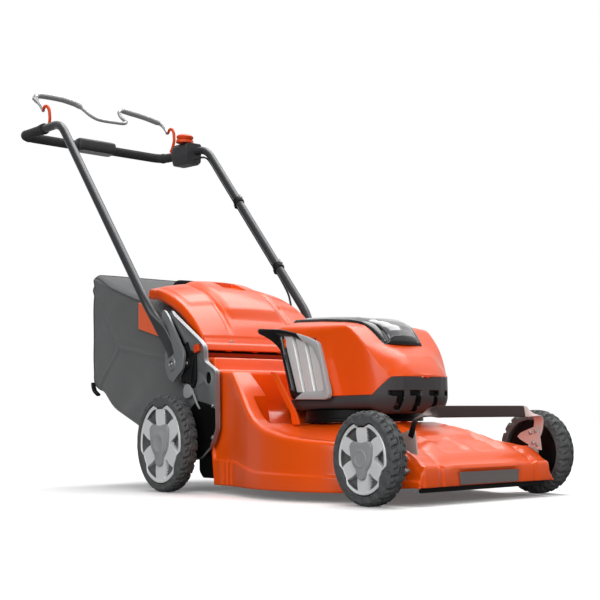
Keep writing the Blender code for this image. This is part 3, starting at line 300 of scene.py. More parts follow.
class Shape:
    """A mesh that grows block by block, and then becomes one piece."""

    def __init__(self) -> None:
        """Starts with no points and no faces."""
        self.points: list[np.ndarray] = []
        self.faces: list[list[int]] = []
        self.paint: list[int] = []
        self.count = 0

    def grid(self, points: np.ndarray, round_rows: bool = False, round_cols: bool = False,
             caps: bool = False, solid: bool = False, keep: np.ndarray | None = None,
             paint: np.ndarray | None = None) -> "Shape":
        """Adds a grid of quads, made to face outwards if it encloses a volume.

        Args:
            points: (rows, columns, 3).
            round_rows: whether the last row joins the first.
            round_cols: whether the last column joins the first.
            caps: whether the first and last rows are closed to their own middles.
            solid: whether the grid closes at poles of its own.
            keep: (rows, columns) of booleans that say which quads are made.
            paint: (rows, columns) of booleans that say which quads get the second finish.

        Returns:
            The shape itself.
        """
        rows, cols = points.shape[:2]
        index = np.arange(rows * cols).reshape(rows, cols)
        r = np.arange(rows if round_rows else rows - 1)
        c = np.arange(cols if round_cols else cols - 1)
        r2, c2 = (r + 1) % rows, (c + 1) % cols
        quads = np.stack([index[np.ix_(r, c)], index[np.ix_(r, c2)], index[np.ix_(r2, c2)],
                          index[np.ix_(r2, c)]], axis=-1)
        marks = np.zeros((len(r), len(c)), int) if paint is None else paint[:len(r), :len(c)].astype(int)
        if keep is not None:
            quads, marks = quads[keep[:len(r), :len(c)]], marks[keep[:len(r), :len(c)]]
        quads, marks = quads.reshape(-1, 4), marks.ravel().tolist()
        block = points.reshape(-1, 3)
        faces = quads.tolist()
        if caps:
            middles = np.stack([points[0].mean(0), points[-1].mean(0)])
            block = np.vstack([block, middles])
            first, last = rows * cols, rows * cols + 1
            faces += np.stack([np.full(len(c), first), index[0][c2], index[0][c]], axis=1).tolist()
            faces += np.stack([np.full(len(c), last), index[-1][c], index[-1][c2]], axis=1).tolist()
        if caps or solid or (round_rows and round_cols):
            corner = block[quads] - block.mean(0)
            halves = np.cross(corner[:, 1], corner[:, 2]) + np.cross(corner[:, 2], corner[:, 3])
            if np.einsum("ij,ij->i", corner[:, 0], halves).sum() < 0:
                faces = [face[::-1] for face in faces]
        self.faces += [[i + self.count for i in face] for face in faces]
        self.paint += marks + [0] * (len(faces) - len(marks))
        self.points.append(block)
        self.count += len(block)
        return self

    def tube(self, path: np.ndarray, section: np.ndarray, up: Sequence[float],
             sizes: np.ndarray | None = None) -> "Shape":
        """Adds a section carried along a path, closed at both ends, times a size at each point."""
        return self.rod(carried(path, section if sizes is None else section * sizes[:, None, None], up))

    def rod(self, points: np.ndarray, paint: np.ndarray | None = None) -> "Shape":
        """Adds rings, one in each row, and closes the first and the last."""
        return self.grid(points, round_cols=True, caps=True, paint=paint)

    def ring(self, points: np.ndarray, paint: np.ndarray | None = None) -> "Shape":
        """Adds rings, one in each row, of which the last joins the first."""
        return self.grid(points, round_rows=True, round_cols=True, paint=paint)

    def slab(self, outline: np.ndarray, rise: Sequence[float], edge: float = 0.0) -> "Shape":
        """Adds a plate: an outline and the same outline moved by the rise, with eased rims.

        The rim's rings are the outline drawn towards its middle by the edge at both faces.

        Args:
            outline: points (n, 3) that go round once.
            rise: from the first face to the second.
            edge: how far each face is drawn in.

        Returns:
            The shape itself.
        """
        lift = np.asarray(rise, float)
        middle = outline.mean(0)
        arm = outline - middle
        reach = np.maximum(np.linalg.norm(arm, axis=1, keepdims=True), edge + TINY)
        inner = middle + arm * (1 - edge / reach)
        share = min(0.45, edge / max(np.linalg.norm(lift), TINY))
        rings = [inner, outline + lift * share, outline + lift * (1 - share), inner + lift]
        return self.rod(np.stack(rings))

    def piece(self, name: str, body: str, finish: "Finish", slot: str, replaces: Sequence[str] = (),
              sharp: float = 38.0, wall: float = 0.0, second: "Finish | None" = None) -> bpy.types.Object:
        """Makes the mesh into one object that rides on a body.

        Args:
            name: the piece's name.
            body: the frame body that it rides on.
            finish: its surface.
            slot: the record's material slot; not used.
            replaces: CAD nodes that it stands for.
            sharp: edges above this angle in degrees are drawn sharp.
            wall: thickness laid on the back of an open sheet.
            second: the finish of the painted quads.

        Returns:
            The object.
        """
        mesh = bpy.data.meshes.new(name)
        mesh.from_pydata(np.vstack(self.points).tolist(), [], self.faces)
        mesh.polygons.foreach_set("material_index", self.paint)
        whole = bmesh.new()
        whole.from_mesh(mesh)
        bmesh.ops.remove_doubles(whole, verts=whole.verts, dist=WELD)
        bmesh.ops.dissolve_degenerate(whole, edges=whole.edges, dist=SLIVER)
        whole.to_mesh(mesh)
        whole.free()
        mesh.shade_smooth()
        mesh.set_sharp_from_angle(angle=math.radians(sharp))
        for look in (finish, second) if second else (finish,):
            mesh.materials.append(look.make())
        obj = bpy.data.objects.new(name, mesh)
        bpy.context.scene.collection.objects.link(obj)
        if wall:
            shell = obj.modifiers.new("wall", "SOLIDIFY")
            shell.thickness, shell.offset = wall, -1.0
        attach(obj, body)
        if replaces:
            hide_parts(*replaces)
        LOG.info("%s: %d faces on %s", name, len(self.faces), body)
        return obj


# Finishes


class Nodes:
    """Adds shader nodes to one tree and joins them."""

    def __init__(self, tree: bpy.types.NodeTree) -> None:
        """Keeps the tree.

        Args:
            tree: the node tree that is filled.
        """
        self.tree = tree

    def add(self, kind: str, settings: dict | None = None, **inputs: object) -> bpy.types.Node:
        """Adds a node, with sockets named by their labels with _ for a space.

        Args:
            kind: the node's type.
            settings: values of the node's own properties.
            **inputs: a number, a colour or another node's socket for each input, s0 for input 0.

        Returns:
            The node.
        """
        node = self.tree.nodes.new(kind)
        for key, value in (settings or {}).items():
            setattr(node, key, value)
        for key, value in inputs.items():
            numbered = key[0] == "s" and key[1:].isdigit()
            socket = node.inputs[int(key[1:]) if numbered else key.replace("_", " ")]
            if isinstance(value, bpy.types.NodeSocket):
                self.tree.links.new(value, socket)
            else:
                socket.default_value = value
        return node

    def math(self, operation: str, first: object, second: object = 0.0) -> bpy.types.NodeSocket:
        """One sum on two values.

        Args:
            operation: the Math node's operation.
            first: number or socket.
            second: number or socket.

        Returns:
            The result's socket.
        """
        return self.add("ShaderNodeMath", {"operation": operation}, s0=first, s1=second).outputs[0]

    def effect(self, name: str, **inputs: object) -> bpy.types.NodeSocket:
        """What a shared effect gives out, from the inputs of its group."""
        return self.add("ShaderNodeGroup", {"node_tree": Effects.get(name)}, **inputs).outputs[0]

    def noise(self, place: bpy.types.NodeSocket, scale: object, detail: float,
              roughness: float = 0.5) -> bpy.types.NodeSocket:
        """A noise texture's value.

        Args:
            place: the vector that it is read at.
            scale: number or socket.
            detail: how many finer noises are added.
            roughness: how strong each of them is.

        Returns:
            The value's socket.
        """
        return self.add("ShaderNodeTexNoise", Vector=place, Scale=scale, Detail=detail,
                        Roughness=roughness).outputs["Fac"]


class Effects:
    """The shared surface effects. Each one's method joins its nodes to what its group takes in, and
    returns the socket that the group gives out."""

    plans: dict[str, tuple] = {
        "tint": ("Color", ("Color", (1, 1, 1, 1)), ("Scale", 12.0), ("Amount", 0.1)),
        "gloss": ("Roughness", ("Roughness", 0.4), ("Spread", 0.1), ("Scale", 30.0)),
        "grain": ("Height", ("Scale", 900.0)),
        "peel": ("Height", ("Scale", 120.0)),
        "brushed": ("Height", ("Scale", 400.0)),
        "weave": ("Height", ("Scale", 2200.0)),
        "wear": ("Mask", ("Amount", 0.5))}
    made: dict[str, bpy.types.NodeTree] = {}

    @classmethod
    def get(cls, name: str) -> bpy.types.NodeTree:
        """The named effect's group, built at its first use.

        Args:
            name: a key of the plans, which hold the output's name and each input's name and default.

        Returns:
            The group, with a Vector input before those of its plan.
        """
        if name not in cls.made:
            gives, *takes = cls.plans[name]
            tree = cls.made[name] = bpy.data.node_groups.new(name, "ShaderNodeTree")
            tree.interface.new_socket("Vector", in_out="INPUT", socket_type="NodeSocketVector")
            for label, default in takes:
                kind = "NodeSocketColor" if label == "Color" else "NodeSocketFloat"
                tree.interface.new_socket(label, in_out="INPUT", socket_type=kind).default_value = default
            kind = "NodeSocketColor" if gives == "Color" else "NodeSocketFloat"
            tree.interface.new_socket(gives, in_out="OUTPUT", socket_type=kind)
            n = Nodes(tree)
            made = getattr(cls, name)(n, n.add("NodeGroupInput").outputs)
            n.add("NodeGroupOutput", **{gives: made})
        return cls.made[name]

    @staticmethod
    def tint(n: Nodes, take: Sockets) -> bpy.types.NodeSocket:
        """Slow colour variation: the colour times 1 plus the amount times two noises, less a half."""
        broad = n.noise(take["Vector"], take["Scale"], 3.0)
        fine = n.noise(take["Vector"], n.math("MULTIPLY", take["Scale"], 17.0), 2.0)
        both = n.math("ADD", broad, n.math("MULTIPLY", fine, 0.5))
        lift = n.math("MULTIPLY", n.math("SUBTRACT", both, 0.75), take["Amount"])
        return n.add("ShaderNodeVectorMath", {"operation": "SCALE"}, Vector=take["Color"],
                     Scale=n.math("ADD", lift, 1.0)).outputs["Vector"]

    @staticmethod
    def gloss(n: Nodes, take: Sockets) -> bpy.types.NodeSocket:
        """Uneven gloss: the roughness plus the spread times a smudge noise less a half."""
        smudge = n.noise(take["Vector"], take["Scale"], 5.0, 0.6)
        shift = n.math("MULTIPLY", n.math("SUBTRACT", smudge, 0.5), take["Spread"])
        return n.math("ADD", take["Roughness"], shift)

    @staticmethod
    def grain(n: Nodes, take: Sockets) -> bpy.types.NodeSocket:
        """Moulded grain: rounded cells, less the cell distance, plus a finer noise."""
        cells = n.add("ShaderNodeTexVoronoi", Vector=take["Vector"], Scale=take["Scale"])
        fine = n.noise(take["Vector"], n.math("MULTIPLY", take["Scale"], 2.3), 2.0)
        return n.math("SUBTRACT", n.math("MULTIPLY", fine, 0.6), cells.outputs["Distance"])

    @staticmethod
    def peel(n: Nodes, take: Sockets) -> bpy.types.NodeSocket:
        """Sprayed skin: one smooth noise, the slow waviness of paint and of blown film."""
        return n.noise(take["Vector"], take["Scale"], 1.0)

    @staticmethod
    def brushed(n: Nodes, take: Sockets) -> bpy.types.NodeSocket:
        """Drawn metal: noise on a vector stretched forty times along one axis."""
        drawn = n.add("ShaderNodeVectorMath", {"operation": "MULTIPLY"}, s0=take["Vector"],
                      s1=(1.0, 1.0, 0.025))
        return n.noise(drawn.outputs["Vector"], take["Scale"], 3.0)

    @staticmethod
    def weave(n: Nodes, take: Sockets) -> bpy.types.NodeSocket:
        """Woven cloth: the sum of three sine waves on X, Y and Z, so that each flat side shows crossed
        threads, plus a noise for uneven yarn."""
        split = n.add("ShaderNodeSeparateXYZ", Vector=take["Vector"])
        waves = [n.math("SINE", n.math("MULTIPLY", split.outputs[k], take["Scale"])) for k in range(3)]
        yarn = n.math("MULTIPLY", n.noise(take["Vector"], 260.0, 4.0), 2.0)
        total = n.math("ADD", n.math("ADD", waves[0], waves[1]), n.math("ADD", waves[2], yarn))
        return n.math("MULTIPLY", total, 0.25)

    @staticmethod
    def wear(n: Nodes, take: Sockets) -> bpy.types.NodeSocket:
        """Rubbed edges: a mask of the sharp outer corners, broken up by noise."""
        edge = n.add("ShaderNodeNewGeometry").outputs["Pointiness"]
        patchy = n.noise(take["Vector"], 60.0, 6.0)
        corner = n.math("MULTIPLY", n.math("SUBTRACT", edge, 0.56), 12.0)
        broken = n.math("MULTIPLY", corner, n.math("ADD", patchy, 0.2))
        return n.add("ShaderNodeClamp", Value=n.math("MULTIPLY", broken, take["Amount"])).outputs["Result"]


class Relief(Enum):
    """The small-scale relief of a surface, valued by its effect's name."""

    GRAIN = "grain"
    PEEL = "peel"
    BRUSHED = "brushed"
    WEAVE = "weave"


@dataclass(frozen=True)
class Finish:
    """How one surface looks. The colour is in a screen's values, from 0 to 255."""

    name: str
    colour: tuple[int, int, int]
    roughness: float
    relief: Relief = Relief.GRAIN
    scale: float = 900.0
    depth: float = 0.00004
    metallic: float = 0.0
    specular: float = 0.5
    coat: float = 0.0
    coat_roughness: float = 0.08
    sheen: float = 0.0
    tint: float = 0.1
    spread: float = 0.1
    rubbed: float = 0.0

    @property
    def linear(self) -> tuple[float, float, float, float]:
        """The colour as light: each share above 0.04 is ((share + 0.055) / 1.055) to the power 2.4."""
        share = np.array(self.colour) / 255.0
        light = np.where(share > 0.04045, ((share + 0.055) / 1.055) ** 2.4, share / 12.92)
        return (*light.tolist(), 1.0)

    def make(self) -> bpy.types.Material:
        """The material, built once for each finish."""
        label = f"look_{self.name}"
        found = bpy.data.materials.get(label)
        if found:
            return found
        made = bpy.data.materials.new(label)
        made.use_nodes = True
        made.diffuse_color = self.linear
        n = Nodes(made.node_tree)
        place = n.add("ShaderNodeTexCoord").outputs["Object"]
        shader = made.node_tree.nodes["Principled BSDF"]
        colour = n.effect("tint", Vector=place, Color=self.linear, Amount=self.tint)
        if self.rubbed:
            wear = n.effect("wear", Vector=place, Amount=self.rubbed)
            pale = tuple(min(1.0, c * 1.6 + 0.06) for c in self.linear[:3]) + (1.0,)
            colour = n.add("ShaderNodeMix", {"data_type": "RGBA"}, s0=wear, s6=colour, s7=pale).outputs[2]
        gloss = n.effect("gloss", Vector=place, Roughness=self.roughness, Spread=self.spread)
        relief = n.effect(self.relief.value, Vector=place, Scale=self.scale)
        bump = n.add("ShaderNodeBump", Height=relief, Distance=self.depth, Strength=1.0).outputs["Normal"]
        for socket, value in (("Base Color", colour), ("Roughness", gloss), ("Normal", bump)):
            made.node_tree.links.new(value, shader.inputs[socket])
        for socket, value in (("Metallic", self.metallic), ("Specular IOR Level", self.specular),
                              ("Coat Weight", self.coat), ("Coat Roughness", self.coat_roughness),
                              ("Sheen Weight", self.sheen)):
            shader.inputs[socket].default_value = value
        return made


ORANGE_PAINT = Finish("orange_paint", (234, 82, 4), 0.32, Relief.PEEL, 160.0, 0.00006, specular=0.3,
                      coat=0.22, coat_roughness=0.16, tint=0.04, spread=0.06)
ORANGE_COVER = Finish("orange_cover", (234, 80, 4), 0.3, Relief.PEEL, 110.0, 0.00004, specular=0.3,
                      coat=0.22, coat_roughness=0.14, tint=0.04, spread=0.06)
# A darker orange that is painted shade, for the strip under the flap's lip.
ORANGE_PAINTED_SHADE = Finish("orange_painted_shade", (150, 40, 8), 0.5, Relief.PEEL, 160.0, 0.00005, specular=0.2)
ORANGE_TRIM = Finish("orange_trim", (226, 72, 14), 0.42, scale=1400.0, depth=0.00003, specular=0.3)
DARK_PLASTIC = Finish("dark_plastic", (60, 60, 62), 0.46, depth=0.00006, specular=0.3, rubbed=0.3)
BLACK_PLASTIC = Finish("black_plastic", (20, 20, 21), 0.5, depth=0.00005, specular=0.18, rubbed=0.2)
# Black for the motor ring and the grille's back, and for the black guards, strips, dishes, sheets and chin
# grooves that are painted shade.
MOTOR_BLACK_AND_PAINTED_SHADE = Finish("motor_black_and_painted_shade", (9, 9, 10), 0.45, depth=0.00005, specular=0.12)
TRIM_BLACK = Finish("trim_black", (18, 18, 19), 0.22, scale=1500.0, depth=0.00002, coat=0.3)
LID_SMOKE = Finish("lid_smoke", (92, 92, 94), 0.16, Relief.PEEL, 60.0, 0.00003, coat=0.8,
                   coat_roughness=0.04, tint=0.05, spread=0.04)
GRIP_FOAM = Finish("grip_foam", (46, 46, 48), 0.85, scale=1300.0, depth=0.00016, tint=0.16)
CABLE_BLACK = Finish("cable_black", (38, 38, 40), 0.6, scale=1200.0, depth=0.00003)
GRILLE_FRAME = Finish("grille_frame", (168, 170, 172), 0.4, scale=1100.0, depth=0.00004)
LOUVRE_SILVER = Finish("louvre_silver", (222, 223, 223), 0.36, scale=1500.0, depth=0.00002, metallic=0.25)
TYRE_GREY = Finish("tyre_grey", (76, 77, 78), 0.78, scale=700.0, depth=0.00012, tint=0.18, spread=0.16)
HUB_SILVER = Finish("hub_silver", (228, 229, 230), 0.34, scale=1500.0, depth=0.00002, metallic=0.2,
                    coat=0.3)
# A darker grey that is painted shade, in the hubs' deep pockets and behind the discs.
POCKET_PAINTED_SHADE = Finish("pocket_painted_shade", (84, 85, 86), 0.5, depth=0.00004)
CAP_GREY = Finish("cap_grey", (148, 149, 150), 0.48, depth=0.00005, rubbed=0.3)
BAG_CLOTH = Finish("bag_cloth", (88, 89, 90), 0.92, Relief.WEAVE, 2400.0, 0.00022, sheen=0.25, tint=0.16)
BAG_PATCH = Finish("bag_patch", (238, 96, 40), 0.85, Relief.WEAVE, 2400.0, 0.0002, sheen=0.2, tint=0.1)
BAG_WELT = Finish("bag_welt", (66, 67, 68), 0.9, Relief.WEAVE, 3000.0, 0.00015, sheen=0.2, tint=0.14)
TUBE_GREY = Finish("tube_grey", (62, 63, 65), 0.3, Relief.PEEL, 300.0, 0.00003, metallic=0.2, specular=0.4,
                   tint=0.06)
PLATE_STEEL = Finish("plate_steel", (138, 140, 142), 0.4, Relief.PEEL, 260.0, 0.00004, metallic=0.55,
                     rubbed=0.6)
BAIL_GREY = Finish("bail_grey", (178, 179, 181), 0.36, Relief.PEEL, 300.0, 0.00003, metallic=0.45,
                   tint=0.06)
LEVER_GREY = Finish("lever_grey", (150, 151, 152), 0.48, depth=0.00004)
CARRY_BRONZE = Finish("carry_bronze", (50, 36, 34), 0.3, Relief.BRUSHED, 420.0, 0.00003, metallic=0.7)
# Bare steel for bolts, pins and wire, and for the brackets' edge rods that are painted highlights.
BARE_STEEL_AND_HIGHLIGHT = Finish("bare_steel_and_highlight", (178, 178, 180), 0.34, Relief.BRUSHED, 500.0, 0.00004, metallic=1.0)
BOARD_GREEN = Finish("board_green", (28, 96, 50), 0.45, Relief.BRUSHED, 700.0, 0.00006)
# Pale metal for the carry feet, and a painted highlight on the lifting bar's left leg.
FOOT_METAL_AND_HIGHLIGHT = Finish("foot_metal_and_highlight", (206, 182, 176), 0.42, Relief.BRUSHED, 600.0, 0.00004, metallic=0.15)
BUMPER_GREY = Finish("bumper_grey", (108, 101, 100), 0.5, depth=0.00006, specular=0.25)
AXLE_ZINC = Finish("axle_zinc", (150, 150, 152), 0.42, Relief.BRUSHED, 420.0, 0.00005, metallic=0.9,
                   tint=0.14)
BLADE_STEEL = Finish("blade_steel", (120, 122, 126), 0.38, Relief.BRUSHED, 320.0, 0.00008, metallic=1.0,
                     tint=0.16)
LAMINATION = Finish("lamination", (96, 92, 88), 0.5, Relief.BRUSHED, 1500.0, 0.0001, metallic=0.7)
BATTERY_CASE = Finish("battery_case", (40, 41, 43), 0.46, depth=0.00006, specular=0.3)


# Deck


@dataclass
class Deck:
    """The pressed steel deck, its fins, and the black guards and strip below it, whose black is painted
    shade.
    """

    wall: float = 0.0025
    front: float = -0.08
    rear: float = 0.65
    step: float = 0.455
    half: Table = ((-0.08, 0.19), (-0.02, 0.203), (0.06, 0.209), (0.09, 0.213), (0.14, 0.239), (0.2, 0.256),
                   (0.27, 0.262), (0.34, 0.258), (0.41, 0.244), (0.47, 0.226), (0.53, 0.211), (0.6, 0.203),
                   (0.65, 0.2))
    ledge: Table = ((-0.076, 0.066), (-0.062, 0.083), (-0.03, 0.101), (0.03, 0.111), (0.11, 0.119),
                    (0.2, 0.127), (0.27, 0.136), (0.34, 0.151), (0.385, 0.169), (0.42, 0.193),
                    (0.455, 0.224), (0.49, 0.257), (0.52, 0.283), (0.6, 0.29), (0.612, 0.322),
                    (0.65, 0.325))
    crown: Table = ((-0.076, 0.066), (-0.062, 0.083), (-0.03, 0.106), (0.03, 0.127), (0.1, 0.147),
                    (0.15, 0.158), (0.455, 0.16), (0.5, 0.192), (0.53, 0.283), (0.6, 0.29), (0.612, 0.322),
                    (0.65, 0.325))
    hem: Table = ((-0.076, 0.034), (0.02, 0.03), (0.09, 0.02), (0.6, 0.02), (0.612, 0.11), (0.65, 0.125))
    crease: Table = ((-0.076, 0.045), (0.02, 0.045), (0.12, 0.05), (0.37, 0.055), (0.48, 0.073),
                     (0.6, 0.078), (0.612, 0.15), (0.65, 0.16))
    ledge_wide: float = 0.043
    recess_half: float = 0.152

    def stations(self) -> np.ndarray:
        """Row stations: even steps, closer at the drop behind the bowl and at the rear wall."""
        even = np.linspace(-0.074, self.rear, 132)
        drop = self.step + np.array([-0.006, -0.003, -0.0005, 0.0005, 0.003, 0.006])
        wall = np.array([0.52, 0.524, 0.528, 0.532, 0.596, 0.598, 0.6, 0.602, 0.606, 0.61, 0.612, 0.614])
        return np.unique(np.round(np.concatenate([even, drop, wall]), 5))

    def half_sections(self, y: np.ndarray) -> np.ndarray:
        """Sections of the side x >= 0 from the hem up over the ledge to the middle.

        Ten key points for each station are read from the tables, and their corners are turned. In
        front of the drop the ledge falls to the bowl's floor, or rises to the dome nearer the front.
        Behind it the ledge level runs inwards to the recess under the housing.

        Args:
            y: stations (n,).

        Returns:
            Points (n, m, 3).
        """
        half = read(self.half, y, 0.02)
        hem, crease = read(self.hem, y, 0.0), read(self.crease, y, 0.004)
        ledge = np.where(y < 0.5, read(self.ledge, y, 0.01), read(self.ledge, y, 0.003))
        crown = np.where(y < 0.44, read(self.crown, y, 0.012), read(self.crown, y, 0.003))
        crown = np.maximum(crown, np.where(y < 0.3, ledge, 0.0))
        behind = y > self.step
        dome = 1.0 - ramp(0.33, 0.38, y)
        inner = np.where(behind, self.recess_half, half - self.ledge_wide)
        floor_x = np.where(behind, self.recess_half - 0.01,
                           (half - 0.055) * (1 - dome) + 0.66 * half * dome)
        floor_z = np.where(behind, crown, crown * (1 - dome) + (ledge + 0.4 * (crown - ledge)) * dome)
        wide = np.minimum(0.016, 0.5 * (half - inner))
        keys = keyed((half - 0.0005, hem), (half, hem + 0.006), (half, crease),
                     (half - 0.0045, crease + 0.004), (half - 0.008, ledge - 0.006), (half - wide, ledge),
                     (inner, ledge), (floor_x, floor_z), (0.4 * half, crown), (0.0, crown))
        line = rounded(keys, [0.004, 0.003, 0.004, 0.014, 0.007, 0.004, 0.008, 0.02])
        even = np.stack([line[:, -1] * (1 - s) + line[:, -2] * s for s in (0.8, 0.6, 0.4, 0.2)], axis=1)
        line = np.concatenate([line[:, :-1], even, line[:, -1:]], axis=1)
        return joined(line[..., 0], y[:, None], line[..., 1])

    def relief(self, points: np.ndarray) -> np.ndarray:
        """Pressed forms: plateaus with soft edges, added upwards on top and outwards on the walls.

        Args:
            points: (rows, columns, 3) with stations for Y.

        Returns:
            The moved points.
        """
        x, y, z = np.abs(points[..., 0]), points[..., 1], points[..., 2]
        out = points.copy()
        apron = 1 - ramp(0.045, 0.105, y)
        middle = (1 - ramp(0.1, 0.11, x)) * apron
        slant = 0.25 * np.clip(y, -0.1, 0.1)
        ridge = band(0.088 - slant, 0.096 - slant, 0.006, x) * band(-0.02, 0.1, 0.03, y)
        pad = band(0.14, 0.178, 0.005, x) * band(-0.09, -0.03, 0.008, y)
        rib = band(0.12, 0.127, 0.003, x) * band(-0.09, -0.045, 0.008, y)
        scoop = band(0.02, 0.075, 0.018, x) * band(-0.035, 0.015, 0.015, y)
        rise = 0.0035 * middle + 0.005 * ridge + 0.0045 * pad + 0.003 * rib - 0.006 * scoop
        top = ramp(0.045, 0.06, z)
        out[..., 2] += rise * top
        face = 1 - ramp(-0.076, -0.07, y)
        bumper = (1 - ramp(0.084, 0.089, x)) * (1 - ramp(0.06, 0.0625, z))
        out[..., 1] -= face * (0.0045 * pad + 0.003 * rib + 0.003 * middle - 0.0052 * bumper)
        side = ramp(-0.006, 0.0, x - (read(self.half, y, 0.02) - 0.003)) * (1 - ramp(0.07, 0.084, z))
        ribs = sum(band(s, s + 0.006, 0.003, y) for s in (0.503, 0.53, 0.557))
        out[..., 0] += np.sign(points[..., 0]) * side * 0.003 * ribs
        return out

    def build_shell(self) -> None:
        """The shell: the front lip's rows share the first section and rise by a share of its height."""
        y = self.stations()
        body = mirrored(self.half_sections(y))
        shares = np.array([0.0, 0.06, 0.2, 0.4, 0.6, 0.78, 0.9, 0.97])
        places = np.array([0.0, -0.0004, -0.0008, -0.0008, -0.0006, 0.0, 0.0012, 0.0032]) + self.front
        low = body[0, :, 2].min()
        lip = np.repeat(body[:1], len(shares), axis=0)
        lip[..., 2] = low + shares[:, None] * (lip[..., 2] - low)
        lip[..., 1] = places[:, None]
        grid = self.relief(np.concatenate([lip, body]))
        Shape().grid(at(grid)).piece("deck_shell", "chassis", ORANGE_PAINT, "deck_paint", ["deck"],
                                     sharp=32, wall=self.wall)

    def build_fins(self) -> None:
        """The upright fins beside the housing, each an outline moved sideways with eased rims."""
        line = closed_line([(0.4209, 0.279), (0.399, 0.275), (0.326, 0.18), (0.316, 0.156), (0.34, 0.156),
                            (0.3444, 0.1782)], 0.004, 3)
        for side in Side:
            shape = Shape().slab(upright(side.sign * 0.166, line), (-side.sign * 0.006, 0, 0), 0.0018)
            shape.piece(f"deck_fin_{side.tag}", "chassis", ORANGE_PAINT, "deck_paint")

    def build_shade_guards(self) -> None:
        """Black guards behind the deck's sides, up to the rear axle, and a black strip under its front:
        guessed parts whose black is painted shade where the deck is in deep shade.
        """
        corners = [(0.6, 0.034), (0.66, 0.034), (0.676, 0.05), (0.676, 0.135), (0.6, 0.15)]
        line = closed_line(corners, 0.006, 3)
        for side in Side:
            shape = Shape().slab(upright(side.sign * 0.196, line), (-side.sign * 0.003, 0, 0), 0.0006)
            shape.piece(f"deck_shade_guard_{side.tag}", "chassis", MOTOR_BLACK_AND_PAINTED_SHADE, "black_plastic")
        strip = crosswise(-0.07, [(-0.18, 0.024), (0.18, 0.024), (0.184, 0.04), (-0.184, 0.04)])
        shape = Shape().slab(strip, (0, 0.0025, 0), 0.0005)
        shape.piece("deck_shade_strip", "chassis", MOTOR_BLACK_AND_PAINTED_SHADE, "black_plastic")

    def build(self) -> None:
        """Makes the shell, the fins, and the guards and strip of painted shade."""
        self.build_shell()
        self.build_fins()
        self.build_shade_guards()


def bolt(centre: Sequence[float], axis: Sequence[float], radius: float, height: float) -> np.ndarray:
    """A domed screw head: a profile of shrinking rings with a socket sunk in its top, round an axis.

    Args:
        centre: middle of the head's foot, in world coordinates.
        axis: the way that the head faces.
        radius: of the head.
        height: of the head.

    Returns:
        The grid (rings, turns, 3), whose first and last rows are to be capped.
    """
    w = np.asarray(axis, float) / np.linalg.norm(axis)
    u = np.cross(w, (0.0, 0.0, 1.0) if abs(w[2]) < 0.9 else (1.0, 0.0, 0.0))
    u /= np.linalg.norm(u)
    v = np.cross(w, u)
    profile = np.array([(1.0, 0.0), (1.0, 0.35), (0.93, 0.7), (0.76, 0.92), (0.52, 1.0), (0.46, 0.96),
                        (0.42, 0.45), (0.36, 0.4)])
    turn = turns(18)
    ring = np.cos(turn)[:, None] * u + np.sin(turn)[:, None] * v
    rings = profile[:, 0, None, None] * radius * ring + profile[:, 1, None, None] * height * w
    return rings + np.asarray(centre, float)


@dataclass
class LiftingBar:
    """The flat bar across the front, twisted at its ends, with its two feet's bolts.

    Its leg on the right side is narrower, and its leg on the left side is painted pale as a highlight.
    """

    half: float = 0.1832
    top: float = 0.176
    station: float = -0.07
    wide: float = 0.0235
    thick: float = 0.0032

    def build(self) -> None:
        """A flat section carried along the bent route. It stands up between the bends, by up to 80
        degrees, by the smooth step of the distance from the ends."""
        half, top = self.half, self.top
        right = [(-half, -0.052, 0.129), (-half, -0.058, 0.143), (-half + 0.003, -0.063, 0.163),
                 (-half + 0.042, self.station, top - 0.001), (-half + 0.062, self.station, top)]
        corners = np.array(right + [(-x, y, z) for x, y, z in right[::-1]])
        path = spaced(rounded(corners, 0.012, steps=6), 110)
        lean = math.radians(80) * ramp(0.01, 0.06, half - np.abs(path[:, 0]))
        flat = ellipse(self.thick / 2, self.wide / 2, 6.0, 20)
        c, s = np.cos(lean)[:, None], np.sin(lean)[:, None]
        slim = np.where(path[:, 0] > 0, 1.0, 0.55 + 0.45 * ramp(0.01, 0.06, half + path[:, 0]))[:, None]
        wide = slim * flat[:, 1]
        section = np.stack([flat[:, 0] * c - wide * s, flat[:, 0] * s + wide * c], -1)
        # Painted highlight: the left leg gets the pale foot metal.
        painted_highlight = np.repeat((path[:, :1] > half - 0.06), 20, axis=1)
        grid = carried(at(path), section, (0, 1, 0))[:, ::-1]
        shape = Shape().rod(grid, paint=painted_highlight)
        shape.piece("lifting_bar", "chassis", CARRY_BRONZE, "carry_bronze", ["carry_handle"], sharp=50,
                    second=FOOT_METAL_AND_HIGHLIGHT)
        for side in Side:
            bolts = Shape()
            for y, z in ((-0.054, 0.134), (-0.04, 0.131), (-0.056, 0.106), (-0.046, 0.11)):
                bolts.rod(bolt(at((side.sign * 0.1774, y, z)), (-side.sign, 0, 0), 0.0042, 0.0028))
            bolts.piece(f"foot_bolts_{side.tag}", "chassis", BARE_STEEL_AND_HIGHLIGHT, "plain_steel")


# Battery housing


def inside(y: np.ndarray, z: np.ndarray, outline: np.ndarray) -> np.ndarray:
    """Whether points lie in an outline: a ray crosses its edges an odd number of times."""
    hit = np.zeros(np.shape(y), bool)
    for (y0, z0), (y1, z1) in zip(outline, np.roll(outline, -1, axis=0)):
        if z0 != z1:
            hit ^= ((z0 > z) != (z1 > z)) & (y < y0 + (z - z0) * (y1 - y0) / (z1 - z0))
    return hit


